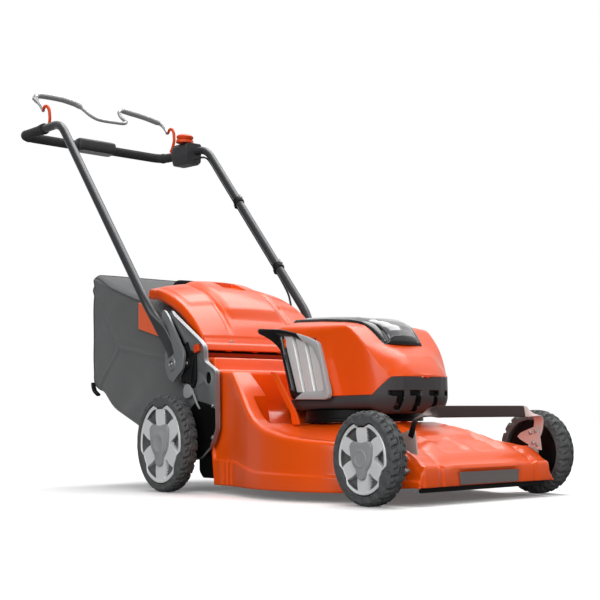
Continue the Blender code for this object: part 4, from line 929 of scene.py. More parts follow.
@dataclass
class Housing:
    """The orange cover, the dark lower housing with its chin, the grilles and the motor's ring."""

    wall: float = 0.0025
    front: float = 0.0825
    rear: float = 0.4995
    half: Table = ((0.0825, 0.0), (0.0834, 0.024), (0.0855, 0.043), (0.091, 0.063), (0.1, 0.078),
                   (0.112, 0.09), (0.126, 0.0995), (0.14, 0.106), (0.155, 0.111), (0.19, 0.1185),
                   (0.25, 0.1285), (0.33, 0.137), (0.42, 0.141), (0.47, 0.138), (0.488, 0.129),
                   (0.4965, 0.1), (0.499, 0.05), (0.4995, 0.0))
    top: Table = ((0.0825, 0.2545), (0.088, 0.264), (0.1, 0.281), (0.116, 0.2995), (0.155, 0.3265),
                  (0.175, 0.348), (0.19, 0.362), (0.2, 0.369), (0.22, 0.376), (0.25, 0.382), (0.33, 0.391),
                  (0.42, 0.397), (0.47, 0.394), (0.4995, 0.378))
    edge: Table = ((0.105, 0.255), (0.114, 0.257), (0.128, 0.28), (0.14, 0.299), (0.152, 0.318),
                   (0.167, 0.336), (0.181, 0.352), (0.19, 0.36), (0.199, 0.366), (0.22, 0.369),
                   (0.25, 0.369), (0.33, 0.371), (0.42, 0.378), (0.47, 0.372), (0.4995, 0.35))
    edge_half: Table = ((0.105, 0.083), (0.114, 0.09), (0.128, 0.099), (0.14, 0.1055), (0.152, 0.1105),
                        (0.167, 0.1165), (0.181, 0.1185), (0.199, 0.1205), (0.25, 0.1275), (0.33, 0.1345),
                        (0.42, 0.1385), (0.47, 0.136), (0.4995, 0.13))
    hem: Table = ((0.0825, 0.253), (0.105, 0.253), (0.141, 0.2165), (0.4995, 0.2165))
    floor: float = 0.1888
    chin_floor: float = 0.176
    motor_station: float = 0.29
    louvre_foot: float = 0.229
    bay: tuple[float, float, float] = (0.054, 0.205, 0.415)
    frame_line: Table = ((0.4955, 0.3836), (0.4965, 0.378), (0.4944, 0.372), (0.429, 0.3565),
                         (0.4184, 0.3495), (0.39, 0.282), (0.3679, 0.2254), (0.36, 0.213), (0.2533, 0.2095),
                         (0.24, 0.2115), (0.2374, 0.224), (0.248, 0.25), (0.263, 0.297), (0.279, 0.3355),
                         (0.3155, 0.3505), (0.369, 0.3655), (0.415, 0.3755))
    opening: Table = ((0.4085, 0.36), (0.407, 0.353), (0.3805, 0.29), (0.356, 0.2305), (0.352, 0.2284),
                      (0.259, 0.229), (0.256, 0.232), (0.2625, 0.256), (0.274, 0.29), (0.3, 0.327),
                      (0.3301, 0.341), (0.3689, 0.3545))

    def grille_x(self, y: np.ndarray, z: np.ndarray) -> np.ndarray:
        """Distance of the grille's plane from the middle: a plane that leans inwards going up."""
        return 0.1405 - 0.0698 * (z - 0.29) + 0.0523 * (y - 0.33)

    def narrowed(self, y: np.ndarray, z: np.ndarray) -> np.ndarray:
        """The greatest half width behind the grille, at a station and a height.

        It falls by 0.8 of the distance behind the grille's leaning rear bar, and under the roof only.
        """
        behind = np.clip(y - 0.3679 - 0.407 * (z - 0.2254), 0.0, None)
        return np.maximum(0.1415 - 0.8 * behind, 0.06) + 0.1 * ramp(0.356, 0.374, z)

    def plan(self) -> tuple[np.ndarray, np.ndarray]:
        """The cover's hem seen from above, from the middle of the front round the +X side.

        Returns:
            Points (n, 3) of half the outline, and its outward directions (n, 2).
        """
        first = self.front + 0.0375 * (1 - np.cos(np.linspace(0, np.pi / 2, 90)))
        last = 0.481 + 0.0185 * np.sin(np.linspace(0, np.pi / 2, 24))
        y = np.concatenate([first, np.linspace(0.122, 0.48, 70), last])
        x = read(self.half, y, 0.0)
        x = np.where((y > 0.1) & (y < 0.47), read(self.half, y, 0.006), x)
        z = read(self.hem, y, 0.0015)
        line = np.stack([np.minimum(x, self.narrowed(y, z)), y], 1)
        tangent = np.gradient(line, axis=0)
        tangent /= np.linalg.norm(tangent, axis=1, keepdims=True) + 1e-12
        return np.column_stack([line, z]), np.stack([tangent[:, 1], -tangent[:, 0]], 1)

    def cover_sections(self, y: np.ndarray) -> np.ndarray:
        """Half sections of the cover: an upright side up to the crease, a shoulder, and the top.

        The crease climbs backwards from the front corner of the hem until it fades into the shoulder.

        Args:
            y: stations (n,).

        Returns:
            Points (n, m, 3) at x >= 0.
        """
        ends = (y < 0.1) | (y > 0.48)
        half = np.where(ends, read(self.half, y), read(self.half, y, 0.006))
        top, hem = read(self.top, y, 0.004), read(self.hem, y, 0.0015)
        rise = top - hem
        crease = np.clip(read(self.edge, y, 0.003), hem + 0.03 * rise, top - 0.004)
        corner = np.minimum(read(self.edge_half, y, 0.003), half * 0.997)
        late = ramp(0.19, 0.26, y)
        left = top - crease
        keys = keyed((half, hem), (half, hem + 0.45 * (crease - hem)), (corner, crease),
                     (corner * 0.84, crease + 0.5 * left), (corner * 0.64, crease + 0.86 * left),
                     (half * 0.4, top), (0.0, top))
        radii = np.stack(np.broadcast_arrays(0.012, 0.0045 + 0.02 * late, 0.01 + 0.01 * late, 0.012, 0.012),
                         axis=1)
        line = rounded(keys, radii, steps=7)
        even = np.stack([line[:, -1] * (1 - s) + line[:, -2] * s for s in (0.75, 0.5, 0.25)], axis=1)
        rises = np.linspace(0, 1, 26)[:-1, None]
        first, bend = line[:, None, 0], line[:, None, 8]
        low = first + (line[:, None, 1] - first) * rises
        wall = line[:, None, 7] + (bend - line[:, None, 7]) * rises
        line = np.concatenate([low, line[:, 1:7], wall, line[:, 8:-1], even, line[:, -1:]], axis=1)
        x, z = line[..., 0], line[..., 1]
        station = y[:, None]
        x = np.minimum(x, self.narrowed(station, z))
        edge = np.interp(z, [0.2133, 0.224, 0.2732, 0.3208, 0.3389, 0.3559],
                         [0.2376, 0.2381, 0.2526, 0.2713, 0.2929, 0.3318])
        lift = np.clip((station - edge + 0.02) / 0.018, 0.0, 1.0) * (1 - ramp(0.335, 0.352, z))
        lift = lift * ramp(0.08, 0.1, x) * (1 - ramp(0.42, 0.47, station))
        sink = 0.0012 * ramp(0.08, 0.1, x) * ramp(0.17, 0.2, station) * (1 - lift)
        sink = sink * (1 - ramp(0.34, 0.36, z))
        return joined(x + 0.003 * lift - sink, station, z)

    def build_cover(self) -> None:
        """The cover as one sheet, open at the bay and behind both grilles.

        The cut behind a grille lies 2.8 mm outside its opening, or 1.2 mm inside it at the top front
        corner. A box widens it at the top rear corner.
        """
        first = self.front + 0.0075 * np.linspace(0, 1, 12) ** 2
        last = self.rear - 0.0105 * np.linspace(1, 0, 12) ** 2
        y = np.concatenate([first, np.linspace(0.092, 0.488, 150), last])
        grid = mirrored(self.cover_sections(y))
        middle = (grid[:-1, :-1] + grid[1:, 1:]) / 2
        half, front, rear = self.bay
        bay = (np.abs(middle[..., 0]) < half) & (middle[..., 1] > front) & (middle[..., 1] < rear)
        line = closed_line(self.opening, 0.004, 4, 160)
        step = np.roll(line, -1, axis=0) - np.roll(line, 1, axis=0)
        step = unit(np.stack([step[:, 1], -step[:, 0]], 1))
        away = 0.0028 - 0.004 * ramp(0.318, 0.33, line[:, 1:]) * (1 - ramp(0.335, 0.35, line[:, :1]))
        inner = line + away * step * np.sign(((line - line.mean(0)) * step).sum())
        across, station, height = np.abs(middle[..., 0]), middle[..., 1], middle[..., 2]
        side = (across > 0.11) & inside(station, height, inner)
        side |= (across > 0.1) & (np.abs(station - 0.398) < 0.018) & (np.abs(height - 0.348) < 0.013)
        shape = Shape().grid(at(grid), keep=~(bay | side))
        shape.piece("cover_shell", "chassis", ORANGE_COVER, "cover_plastic", ["housing_cover"], sharp=30,
                    wall=self.wall)

    def build_skirt(self) -> None:
        """The lower housing: the cover's plan carried down, curved in to the floor.

        The inset at each depth is a quarter circle, radius less the root of its square less the
        depth's. The chin's grooves are sunk against the outward direction and painted black as painted
        shade.
        """
        half, out = self.plan()
        loop = np.vstack([half, (half * (-1, 1, 1))[::-1][1:-1]])
        out = np.vstack([out, (out * (-1, 1))[::-1][1:-1]])
        out[0] = (0, -1)
        y = loop[:, 1]
        chin = 1 - ramp(0.118, 0.16, y)
        floor = self.floor - (self.floor - self.chin_floor) * chin
        start = 0.206 + 0.012 * chin
        inset = 0.014 + 0.014 * chin
        top = loop[:, 2] - 0.0004
        share = np.concatenate([np.linspace(0, 0.5, 34)[:-1], np.linspace(0.5, 1, 22)])
        z = top[:, None] + (floor - top)[:, None] * share
        drop = np.clip((start[:, None] - z) / (start - floor)[:, None], 0, 1)
        inward = inset[:, None] * (1 - np.sqrt(1 - np.minimum(drop, 0.9999) ** 2)) + 0.0002
        x = loop[:, 0][:, None] - out[:, 0][:, None] * inward
        yy = y[:, None] - out[:, 1][:, None] * inward
        groove = np.zeros_like(z)
        for left in (-0.087, -0.0455, 0.007, 0.0585):
            right = left + 0.0255
            bar = band(left, right, 0.0022, x) * band(0.215, 0.2225, 0.0022, z)
            slanted = x + 0.1 * (0.222 - z)
            leg = band(right - 0.0095, right, 0.0022, slanted) * band(0.181, 0.2225, 0.0022, z)
            groove = np.maximum(groove, np.maximum(bar, leg))
        groove = groove * (1 - ramp(0.105, 0.115, yy))
        # Painted shade: the sunk grooves get the black finish.
        dark = (groove > 0.55).T
        groove = 0.0075 * groove
        x, yy = x - out[:, 0][:, None] * groove, yy - out[:, 1][:, None] * groove
        shape = Shape().rod(at(joined(x, yy, z).transpose(1, 0, 2)), dark)
        shape.piece("lower_housing", "chassis", DARK_PLASTIC, "dark_plastic", ["housing_skirt"], sharp=36,
                    second=MOTOR_BLACK_AND_PAINTED_SHADE)

    def build_grille(self, side: Side) -> None:
        """One grille: a raised frame, three leaning louvres and a dark back."""

        def world(line: np.ndarray, proud: float) -> np.ndarray:
            """Points on the grille's plane, moved outwards."""
            return upright(side.sign * (self.grille_x(line[:, 0], line[:, 1]) + proud), line)

        outer, inner = closed_line(self.frame_line, 0.006, 4, 160), closed_line(self.opening, 0.004, 4, 160)
        turn = [np.argmin(np.linalg.norm(line - (0.2533, 0.21), axis=1)) for line in (outer, inner)]
        outer, inner = np.roll(outer, -turn[0], axis=0), np.roll(inner, -turn[1], axis=0)
        rim = [(0.0, -0.006), (0.0, 0.0022), (0.03, 0.0034), (0.1, 0.004), (0.55, 0.0042), (0.86, 0.0034),
               (0.97, 0.0022), (1.0, 0.0004), (1.0, -0.012)]
        rear_bar = np.repeat((outer[:, :1] > 0.352) & (outer[:, :1] < 0.6), len(rim), axis=1)
        frame = Shape().grid(bezel(world(outer, 0), world(inner, 0), rim, (side.sign, 0, 0)),
                             round_rows=True, paint=rear_bar)
        if side is Side.LEFT:
            frame.faces = [face[::-1] for face in frame.faces]
        frame.piece(f"grille_frame_{side.tag}", "chassis", GRILLE_FRAME, "grille_plastic",
                    [f"grille_{side.tag}"], second=TRIM_BLACK)
        low = np.array([0.3544, 0.3245, 0.2871, 0.2524])
        high = np.array([0.409, 0.3682, 0.3242, 0.283])
        high_z = np.array([0.356, 0.353, 0.3385, 0.323])
        blades = Shape()
        cross = np.array([(0.04, -0.0125), (0.05, -0.006), (0.09, -0.0042), (0.3, -0.0026), (0.62, -0.0012),
                          (0.86, -0.001), (0.9, -0.003), (0.905, -0.0125)])
        for i in range(3):
            t = np.linspace(-0.01, 1.03, 14)[:, None]
            share = cross[:, 0][None]
            bottom = low[i] + (low[i + 1] - low[i]) * share
            top = high[i] + (high[i + 1] - high[i]) * share
            top_z = high_z[i] + (high_z[i + 1] - high_z[i]) * share
            y = bottom + (top - bottom) * t
            z = self.louvre_foot + (top_z - self.louvre_foot) * t
            x = side.sign * (self.grille_x(y, z) + cross[:, 1][None])
            blades.rod(at(joined(x, y, z)))
        blades.piece(f"grille_louvres_{side.tag}", "chassis", LOUVRE_SILVER, "grille_plastic")
        back = Shape().slab(world(inner.mean(0) + (inner - inner.mean(0)) * 1.06, -0.0145),
                            (-side.sign * 0.002, 0, 0))
        back.piece(f"grille_back_{side.tag}", "chassis", MOTOR_BLACK_AND_PAINTED_SHADE, "black_plastic")

    def build_motor_ring(self) -> None:
        """The round motor body between the deck and the housing: stepped rings spun about its shaft."""
        profile = [(0.06, 0.1882), (0.126, 0.1882), (0.13, 0.1862), (0.1312, 0.179), (0.1322, 0.17),
                   (0.133, 0.169), (0.1342, 0.164), (0.1335, 0.1606), (0.13, 0.1602), (0.06, 0.1602)]
        shape = Shape().ring(spun(profile, 96) + at((0.0, self.motor_station, 0.0)))
        shape.piece("motor_ring", "chassis", MOTOR_BLACK_AND_PAINTED_SHADE, "black_plastic", ["motor_base"], sharp=30)

    def build(self) -> None:
        """Makes every piece of the housing but the lid."""
        self.build_cover()
        self.build_skirt()
        for side in Side:
            self.build_grille(side)
        self.build_motor_ring()


@dataclass
class BatteryLid:
    """The smoky lid, the black trim that it closes on, and the liner of the bay."""

    front: float = 0.1545
    foot: float = 0.3242
    bow: float = 0.006
    half: Table = ((0.155, 0.04), (0.18, 0.0455), (0.205, 0.052), (0.25, 0.057), (0.33, 0.0605),
                   (0.432, 0.062))
    crest: Table = ((0.1545, 0.3465), (0.16, 0.357), (0.17, 0.369), (0.185, 0.38), (0.205, 0.388),
                    (0.25, 0.3965), (0.33, 0.404), (0.4, 0.409), (0.432, 0.41))
    seat: Table = ((0.1545, 0.3255), (0.175, 0.347), (0.19, 0.36), (0.2, 0.367), (0.22, 0.374),
                   (0.25, 0.38), (0.33, 0.389), (0.42, 0.395), (0.445, 0.396))
    outer: Table = ((0.15, 0.0525), (0.16, 0.06), (0.19, 0.068), (0.25, 0.0745), (0.33, 0.078),
                    (0.445, 0.08))

    def build_lid(self) -> None:
        """The lid: sections across, crowned by a steepening curve, with a bowed front face.

        Each section runs from the foot of one side over the crown to the other. The height falls
        from the crest by 3.5 mm times the square and 5.5 mm times the eighth power of the share of
        the half width. The front face gets the second finish.
        """
        y = np.concatenate([self.front + 0.03 * np.linspace(0, 1, 16) ** 1.5, np.linspace(0.19, 0.432, 50)])
        half, crest = read(self.half, y, 0.004), read(self.crest, y, 0.0)
        seat = read(self.seat, y, 0.0) + 0.004
        share = np.sin(np.linspace(0, np.pi / 2, 24))
        x = half[:, None] * share[::-1]
        z = crest[:, None] - 0.0035 * (share[::-1] ** 2) - 0.0055 * share[::-1] ** 8
        sunk = 0.0022 * band(0.0, 0.66, 0.1, np.abs(x) / half[:, None]) * ramp(0.2, 0.24, y)[:, None]
        z = z - sunk * (1 - ramp(0.395, 0.415, y)[:, None])
        rise = np.maximum(seat[:, None], z)
        section = joined(x, y[:, None], rise)
        foot = section[:, :1].copy()
        foot[..., 0] += 0.0085 * (1 - ramp(0.155, 0.3, y[:, None]))
        foot[..., 2] = seat[:, None]
        body = mirrored(np.concatenate([foot, section], axis=1))
        face = np.repeat(body[:1], 7, axis=0)
        lift = np.array([0.0, 0.12, 0.35, 0.6, 0.85, 0.95, 0.99])[:, None]
        face[..., 2] = self.foot + (face[..., 2] - self.foot) * lift
        bulge = self.bow * (1 - (np.abs(face[..., 0]) / 0.05) ** 2)
        face[..., 1] = self.front - 0.0022 * np.sin(lift * np.pi) - bulge
        bulge = self.bow * (1 - (np.abs(body[..., 0]) / half[:, None]) ** 2)
        body[..., 1] -= bulge * (1 - ramp(0.155, 0.2, y))[:, None]
        rear = np.repeat(body[-1:], 3, axis=0)
        rear[..., 2] = seat[-1] + (rear[..., 2] - seat[-1]) * np.array([0.97, 0.6, 0.0])[:, None]
        rear[..., 1] += np.array([0.0015, 0.002, 0.002])[:, None]
        grid = np.concatenate([face, body, rear])
        walls = np.zeros(grid.shape[:2], bool)
        walls[len(face):, [0, grid.shape[1] - 2]] = True
        walls[:5] = True
        shape = Shape().grid(at(grid), paint=walls)
        shape.piece("lid_shell", "lid", LID_SMOKE, "lid_plastic", ["battery_lid"], sharp=28, wall=0.0025,
                    second=TRIM_BLACK)

    def build_trim(self) -> None:
        """The band round the lid: both sides' outlines joined behind it, from the cover up to the lid."""
        y = np.concatenate([0.1515 + 0.04 * np.linspace(0, 1, 14) ** 1.5, np.linspace(0.198, 0.44, 34)])
        foot = np.column_stack([read(self.outer, y, 0.003), y, read(self.seat, y, 0.002) - 0.0015])
        lip = np.column_stack([read(self.half, y, 0.004) + 0.0012, np.minimum(y + 0.002, 0.4355),
                               np.maximum(read(self.crest, y, 0.002) - 0.0095, read(self.seat, y) + 0.003)])
        lip[:, 2] -= 0.008 * (1 - ramp(0.152, 0.2, y))
        turn = np.linspace(0.15, 1.0, 9)[1:] * np.pi / 2
        bands = []
        for side, wide, long in ((foot, 0.022, 0.013), (lip, 0.006, 0.002)):
            x, y, z = side[-1]
            side = np.vstack([side, joined(x - wide + wide * np.cos(turn), y + long * np.sin(turn), z)])
            bands.append(np.vstack([side, (side * (-1.0, 1.0, 1.0))[::-1]]))
        profile = [(0.0, -0.004), (0.0, 0.0015), (0.06, 0.0034), (0.22, 0.0062), (0.55, 0.0052),
                   (0.85, 0.003), (0.97, 0.0016), (1.0, -0.0005), (1.0, -0.01)]
        shape = Shape().rod(at(bezel(*bands, profile, (0, 0, 1))))
        shape.piece("lid_trim", "chassis", TRIM_BLACK, "dark_plastic", ["lid_frame"], sharp=34)
        ring = closed_line([(0.054, 0.205), (0.054, 0.415), (-0.054, 0.415), (-0.054, 0.205)], 0.008, 5, 96)
        ring = np.column_stack([ring, read(self.seat, ring[:, 1], 0.002)])
        wide = ring + np.column_stack([np.sign(ring[:, 0]) * 0.006, np.zeros(96), np.zeros(96)])
        profile = [(0.0, -0.002), (0.0, 0.003), (0.9, 0.003), (1.0, 0.0022), (1.0, -0.04), (0.55, -0.04)]
        liner = Shape().grid(at(bezel(wide, ring, profile, (0, 0, 1))), round_rows=True)
        liner.piece("bay_liner", "chassis", BLACK_PLASTIC, "dark_plastic")

    def build(self) -> None:
        """Makes the lid, the trim and the liner."""
        self.build_lid()
        self.build_trim()


# Flap and grass bag


@dataclass
class RearFlap:
    """The flap over the bag's mouth, its hinge and spring, and the strip in front of it."""

    half: float = 0.19
    hinge: tuple[float, float] = (0.655, 0.3455)
    line: Table = ((0.65, 0.3435), (0.655, 0.3565), (0.668, 0.376), (0.69, 0.404), (0.712, 0.428),
                   (0.733, 0.4465), (0.76, 0.467), (0.79, 0.4845), (0.82, 0.4985), (0.85, 0.51),
                   (0.88, 0.5185), (0.915, 0.526))
    crown: Table = ((0.65, 0.0), (0.7, 0.008), (0.8, 0.02), (0.915, 0.024))

    def build_panel(self) -> None:
        """The flap as one sheet with folded sides and moulded forms.

        Sections across: a flange down each side, a small roll, and a roof whose height above the
        side is the crown times 1 less the square of the share of the half width. Forms are plateaus
        added to the height: a raised middle, a finger recess and two side cushions.
        """
        line = spaced(rounded(self.line, 0.012, 3), 130)
        y, z = line[:, 0], line[:, 1]
        half = self.half + 0.008 * (y - 0.655) / 0.26
        crown = read(self.crown, y, 0.01)
        drop = 0.026 * np.clip(0.12 + (y - 0.65) / 0.07, 0.0, 1.0)
        tangent = unit(np.gradient(line, axis=0))
        normal = np.stack([-tangent[:, 1], tangent[:, 0]], 1)
        flange = np.array([(0.0, -1.0), (-0.0003, -0.6), (-0.0006, -0.25)])
        turn = np.linspace(0.05, 1.0, 7) * np.pi / 2
        roll = np.stack([-0.0006 - 0.007 * (1 - np.cos(turn)), -0.007 * (1 - np.sin(turn))], 1)
        share = np.linspace(1.0, 0.0, 62)[1:]
        edges = half[:, None] + np.concatenate([flange[:, 0], roll[:, 0]])
        x = np.concatenate([edges, (half - 0.0076)[:, None] * share], axis=1)
        lift = np.concatenate([drop[:, None] * flange[:, 1], np.tile(roll[:, 1], (len(y), 1)),
                               crown[:, None] * (1 - share * share)], axis=1)
        along = y[:, None]
        middle = (1 - ramp(0.07, 0.098, x)) * band(0.735, 0.905, 0.03, along)
        cushion = band(0.11, 0.168, 0.016, x) * band(0.765, 0.895, 0.018, along)
        channel = band(0.098, 0.104, 0.007, x) * band(0.7, 0.9, 0.03, along)
        bead = band(0.66, 0.668, 0.004, along)
        lift = lift + 0.01 * middle + 0.0045 * cushion - 0.003 * channel - 0.0016 * bead
        recess = (1 - ramp(0.03, 0.034, x)) * band(0.812, 0.872, 0.003, along)
        lift = lift - 0.011 * (recess * (0.35 + 0.65 * np.clip((along - 0.806) / 0.066, 0, 1)))
        lift = lift - 0.002 * ramp(0.884, 0.888, along)
        body = mirrored(joined(x, along + lift * normal[:, :1], z[:, None] + lift * normal[:, 1:]))
        lip = body[-1:].copy()
        lip[..., 2] -= 0.006
        lip[..., 1] += 0.001
        shape = Shape().grid(at(np.concatenate([body, lip])))
        shape.piece("flap_panel", "flap", ORANGE_COVER, "cover_plastic", ["rear_flap"], sharp=30,
                    wall=0.0028)

    def build_hinge(self) -> None:
        """Knuckles round the pin, and the screws above them."""
        line = closed_line([(0.6535, 0.3405), (0.661, 0.3405), (0.664, 0.354), (0.658, 0.359),
                            (0.6525, 0.352)], 0.003, 3)
        knuckles = Shape()
        for x in (-0.12, -0.04, 0.04, 0.12):
            knuckles.slab(upright(x - 0.007, line), (0.014, 0, 0), 0.0008)
        knuckles.piece("flap_knuckles", "flap", ORANGE_COVER, "cover_plastic")
        screws = Shape()
        for x, y, z in ((-0.108, 0.664, 0.366), (-0.072, 0.671, 0.3762), (0.108, 0.664, 0.366),
                        (0.072, 0.671, 0.3762)):
            screws.rod(bolt(at((x, y, z)), (0.0, -0.84, 0.54), 0.0046, 0.0026))
        screws.piece("flap_screws", "flap", BLADE_STEEL, "plain_steel")

    def build_channel(self) -> None:
        """The upright strip behind the deck's rear edge that closes the gap under the flap, in a darker
        orange that is painted shade under the flap's lip.
        """
        strip = crosswise(0.656, [(-0.186, 0.296), (0.186, 0.296), (0.186, 0.3365), (-0.186, 0.3365)])
        shape = Shape().slab(strip, (0, 0.002, 0), 0.0005)
        shape.piece("flap_channel", "chassis", ORANGE_PAINTED_SHADE, "deck_paint")

    def build_spring(self) -> None:
        """The return spring: a round wire along a helix about the pin, with straight legs at its ends."""
        coils, pitch, radius = 7, 0.0026, 0.0045
        t = np.linspace(0, coils * 2 * np.pi, coils * 40)
        y, z = self.hinge
        coil = np.stack([0.15 + pitch * t / (2 * np.pi), y + radius * np.cos(t), z + radius * np.sin(t)], 1)
        first = coil[0] + np.outer(np.linspace(0.014, 0, 8)[:-1], (0.0, 0.0, -1.0))
        last = coil[-1] + np.outer(np.linspace(0, 0.014, 8)[1:], (0.0, 0.25, 0.97))
        shape = Shape().tube(at(np.vstack([first, coil, last])), ellipse(0.0008, 0.0008, 2, 8), (1, 0, 0))
        shape.piece("pin_spring", "chassis", BARE_STEEL_AND_HIGHLIGHT, "plain_steel", ["flap_spring"])

    def build(self) -> None:
        """Makes the flap, its hinge, the strip and the spring."""
        self.build_panel()
        self.build_hinge()
        self.build_channel()
        self.build_spring()


@dataclass
class GrassBag:
    """The fabric bag: a lofted shell that sags, with its seams, patches, rear corner pieces and grip."""

    front: float = 0.7
    rear: float = 1.232
    half: float = 0.2
    patch_long: float = 0.268
    soften: float = 0.014
    bottom: Table = ((0.7, 0.16), (0.8, 0.146), (0.94, 0.138), (0.97, 0.142), (1.131, 0.2), (1.185, 0.243),
                     (1.232, 0.264))
    edge: Table = ((0.7, 0.324), (0.75, 0.372), (0.8, 0.413), (0.85, 0.446), (0.9, 0.474), (0.94, 0.492),
                   (1.131, 0.556), (1.232, 0.598))
    top: Table = ((0.7, 0.333), (0.75, 0.385), (0.8, 0.43), (0.85, 0.47), (0.9, 0.503), (0.94, 0.527),
                  (1.131, 0.583), (1.232, 0.602))
    seams: tuple = (((1.236, 0.586), (0.97, 0.5)), ((1.236, 0.56), (1.09, 0.378)),
                    ((1.09, 0.378), (0.76, 0.322)), ((1.09, 0.378), (1.215, 0.268)))

    def half_at(self, y: np.ndarray) -> np.ndarray:
        """Half width at a station: 1.2 % less at the mouth."""
        return self.half * (1 - 0.012 * ramp(0.7, 0.8, 1.5 - y))

    def pull(self, t: np.ndarray, level: np.ndarray) -> np.ndarray:
        """How far the sides move outwards between the seams, by the shares of length and height."""
        return -0.0075 * np.sin(np.pi * t) ** 0.7 * np.sin(np.pi * level)

    def seam_distance(self, y: np.ndarray, z: np.ndarray) -> np.ndarray:
        """Distance to the nearest sewn line of the side panel, by closest points on the segments."""
        nearest = np.full(y.shape, 1.0)
        for (y0, z0), (y1, z1) in self.seams:
            run = (y1 - y0) ** 2 + (z1 - z0) ** 2
            t = np.clip(((y - y0) * (y1 - y0) + (z - z0) * (z1 - z0)) / run, 0, 1)
            nearest = np.minimum(nearest, np.hypot(y - y0 - t * (y1 - y0), z - z0 - t * (z1 - z0)))
        return nearest

    def surface(self) -> np.ndarray:
        """The bag's skin on a grid (150, 260, 3), with stations for Y.

        Each ring is a rounded outline: flat bottom, upright sides, sloping roof. Sides pull in
        between the seams by the product of two sine arches, the roof hangs between its edges, the
        bottom hangs low, and slow waves crease the lower corner.
        """
        y = np.linspace(self.front, self.rear, 150)
        bottom, edge, top = (read(t, y, self.soften) for t in (self.bottom, self.edge, self.top))
        half = self.half_at(y)
        keys = keyed((0.0, bottom), (0.84 * half, bottom), (half, bottom + 0.022), (half, edge - 0.012),
                     (half - 0.01, edge + 0.003), (0.6 * half, top), (0.0, top + 0.001))
        line = rounded(keys, [0.03, 0.02, 0.01, 0.01, 0.05], steps=6)
        ring = np.stack([spaced(section, 131) for section in line])
        x, z = ring[..., 0], ring[..., 1]
        station = np.broadcast_to(y[:, None], x.shape).copy()
        t = np.clip((station - self.front) / (self.rear - self.front), 0, 1)
        level = np.clip((z - bottom[:, None]) / (edge - bottom)[:, None], 0, 1)
        side = ramp(0.93, 0.995, x / half[:, None])
        far = self.seam_distance(station, z)
        puff = self.pull(t, level) + 0.0035 * np.exp(-(far / 0.006) ** 2)
        puff -= 0.0016 * np.exp(-((far - 0.009) / 0.004) ** 2)
        fold = np.sin(34 * station + 21 * z + 2.2 * np.sin(17 * z + 3 * station))
        fold2 = np.sin(58 * z - 26 * station + 1.7 * np.sin(23 * station))
        low = (1 - ramp(0.05, 0.55, level)) * ramp(0.0, 0.1, level)
        puff += side * (0.0016 * fold * (0.35 + low) + 0.001 * fold2 * (0.3 + 0.7 * low))
        x = x + side * puff
        roof = (z > (edge[:, None] + top[:, None]) / 2 - 0.02) & (x < 0.9 * half[:, None])
        hang = np.sin(np.pi * t) * (1 - (x / half[:, None]) ** 2)
        z = z - np.where(roof, 0.006 * hang - 0.0012 * np.sin(40 * station + 9 * x), 0.0)
        under = level < 0.02
        z = z - np.where(under, 0.002 * np.sin(np.pi * t) * (1 - (x / half[:, None]) ** 2), 0.0)
        half_grid = joined(x, station, z)
        left = half_grid * np.array([-1.0, 1.0, 1.0])
        return np.concatenate([half_grid, left[:, ::-1][:, 1:-1]], axis=1)

    def build_skin(self) -> None:
        """The skin with its rear wall, whose middle bellies out and whose rim is a welt."""
        grid = self.surface()
        last = grid[-1]
        middle = np.array([0.0, self.rear, (last[:, 2].min() + last[:, 2].max()) / 2])
        wall = []
        for share in (0.985, 0.95, 0.88, 0.78, 0.66, 0.54, 0.42, 0.3, 0.18, 0.08):
            ring = middle + (last - middle) * share
            ring[:, 1] += 0.008 * (1 - share ** 2) + (0.002 if share > 0.97 else 0.0)
            ring[:, 1] += 0.0012 * np.sin(30 * ring[:, 0] + 44 * ring[:, 2]) * (1 - share)
            wall.append(ring)
        inner = grid[0]
        inward = inner.mean(0) - inner
        fold = [inner + inward * s + (0, d, 0) for s, d in ((0.03, 0.0), (0.035, 0.02), (0.035, 0.09))]
        rows = np.concatenate([np.stack(fold)[::-1], grid, np.stack(wall)])
        tip = np.repeat(rows[-1:].mean(axis=1, keepdims=True), rows.shape[1], axis=1)
        shape = Shape().grid(at(np.concatenate([rows, tip]))[:, ::-1], round_cols=True)
        shape.piece("bag_skin", "bag", BAG_CLOTH, "bag_fabric", ["grass_bag"], sharp=60, wall=0.0012)

    def build_welts(self) -> None:
        """Piping along both roof edges and round the rear wall."""
        grid = self.surface()
        cols = grid.shape[1]
        welts = Shape()
        edge = read(self.edge, grid[:, 0, 1], self.soften)
        row = np.arange(len(grid))
        for flip in (1, -1):
            pick = np.abs(grid[:, :cols // 2, 2] - edge[:, None] + 0.004)
            col = np.where(grid[:, :cols // 2, 0] > 0.15, pick, 9).argmin(1)
            line = grid[row, col] + (0.0008, 0, 0.0006)
            line = line[5:] * (flip, 1, 1)
            welts.tube(at(spaced(line, 90)), ellipse(0.0022, 0.0022, 2, 8), (1, 0, 0.2))
        ring = grid[-1] + (0, 0.0012, 0)
        welts.ring(carried(at(spaced(ring, 220, True)), ellipse(0.0024, 0.0024, 2, 8), (0, 1, 0)))
        welts.piece("bag_welts", "bag", BAG_WELT, "bag_fabric")

    def build_patches(self) -> None:
        """The orange side patches: the side's own surface moved outwards, with straight edges."""
        u, v = np.meshgrid(np.linspace(0, 1, 60), np.linspace(0, 1, 26), indexing="ij")
        station = self.front + self.patch_long * u
        low = np.interp(station, [0.7, 0.835, 0.97], [0.326, 0.386, 0.421])
        high = read(self.edge, station, self.soften) - 0.0105
        y = station - 0.007 * u * v
        z = low + (high - low) * v
        t = np.clip((y - self.front) / (self.rear - self.front), 0, 1)
        bottom, edge = read(self.bottom, y, self.soften), read(self.edge, y, self.soften)
        level = np.clip((z - bottom) / (edge - bottom), 0, 1)
        x = self.half_at(y) + self.pull(t, level) + 0.0042
        for side in Side:
            grid = joined(side.sign * x, y, z)
            shape = Shape().grid(at(grid if side is Side.LEFT else grid[::-1]))
            shape.piece(f"bag_patch_{side.tag}", "bag", BAG_PATCH, "bag_fabric", wall=0.003)

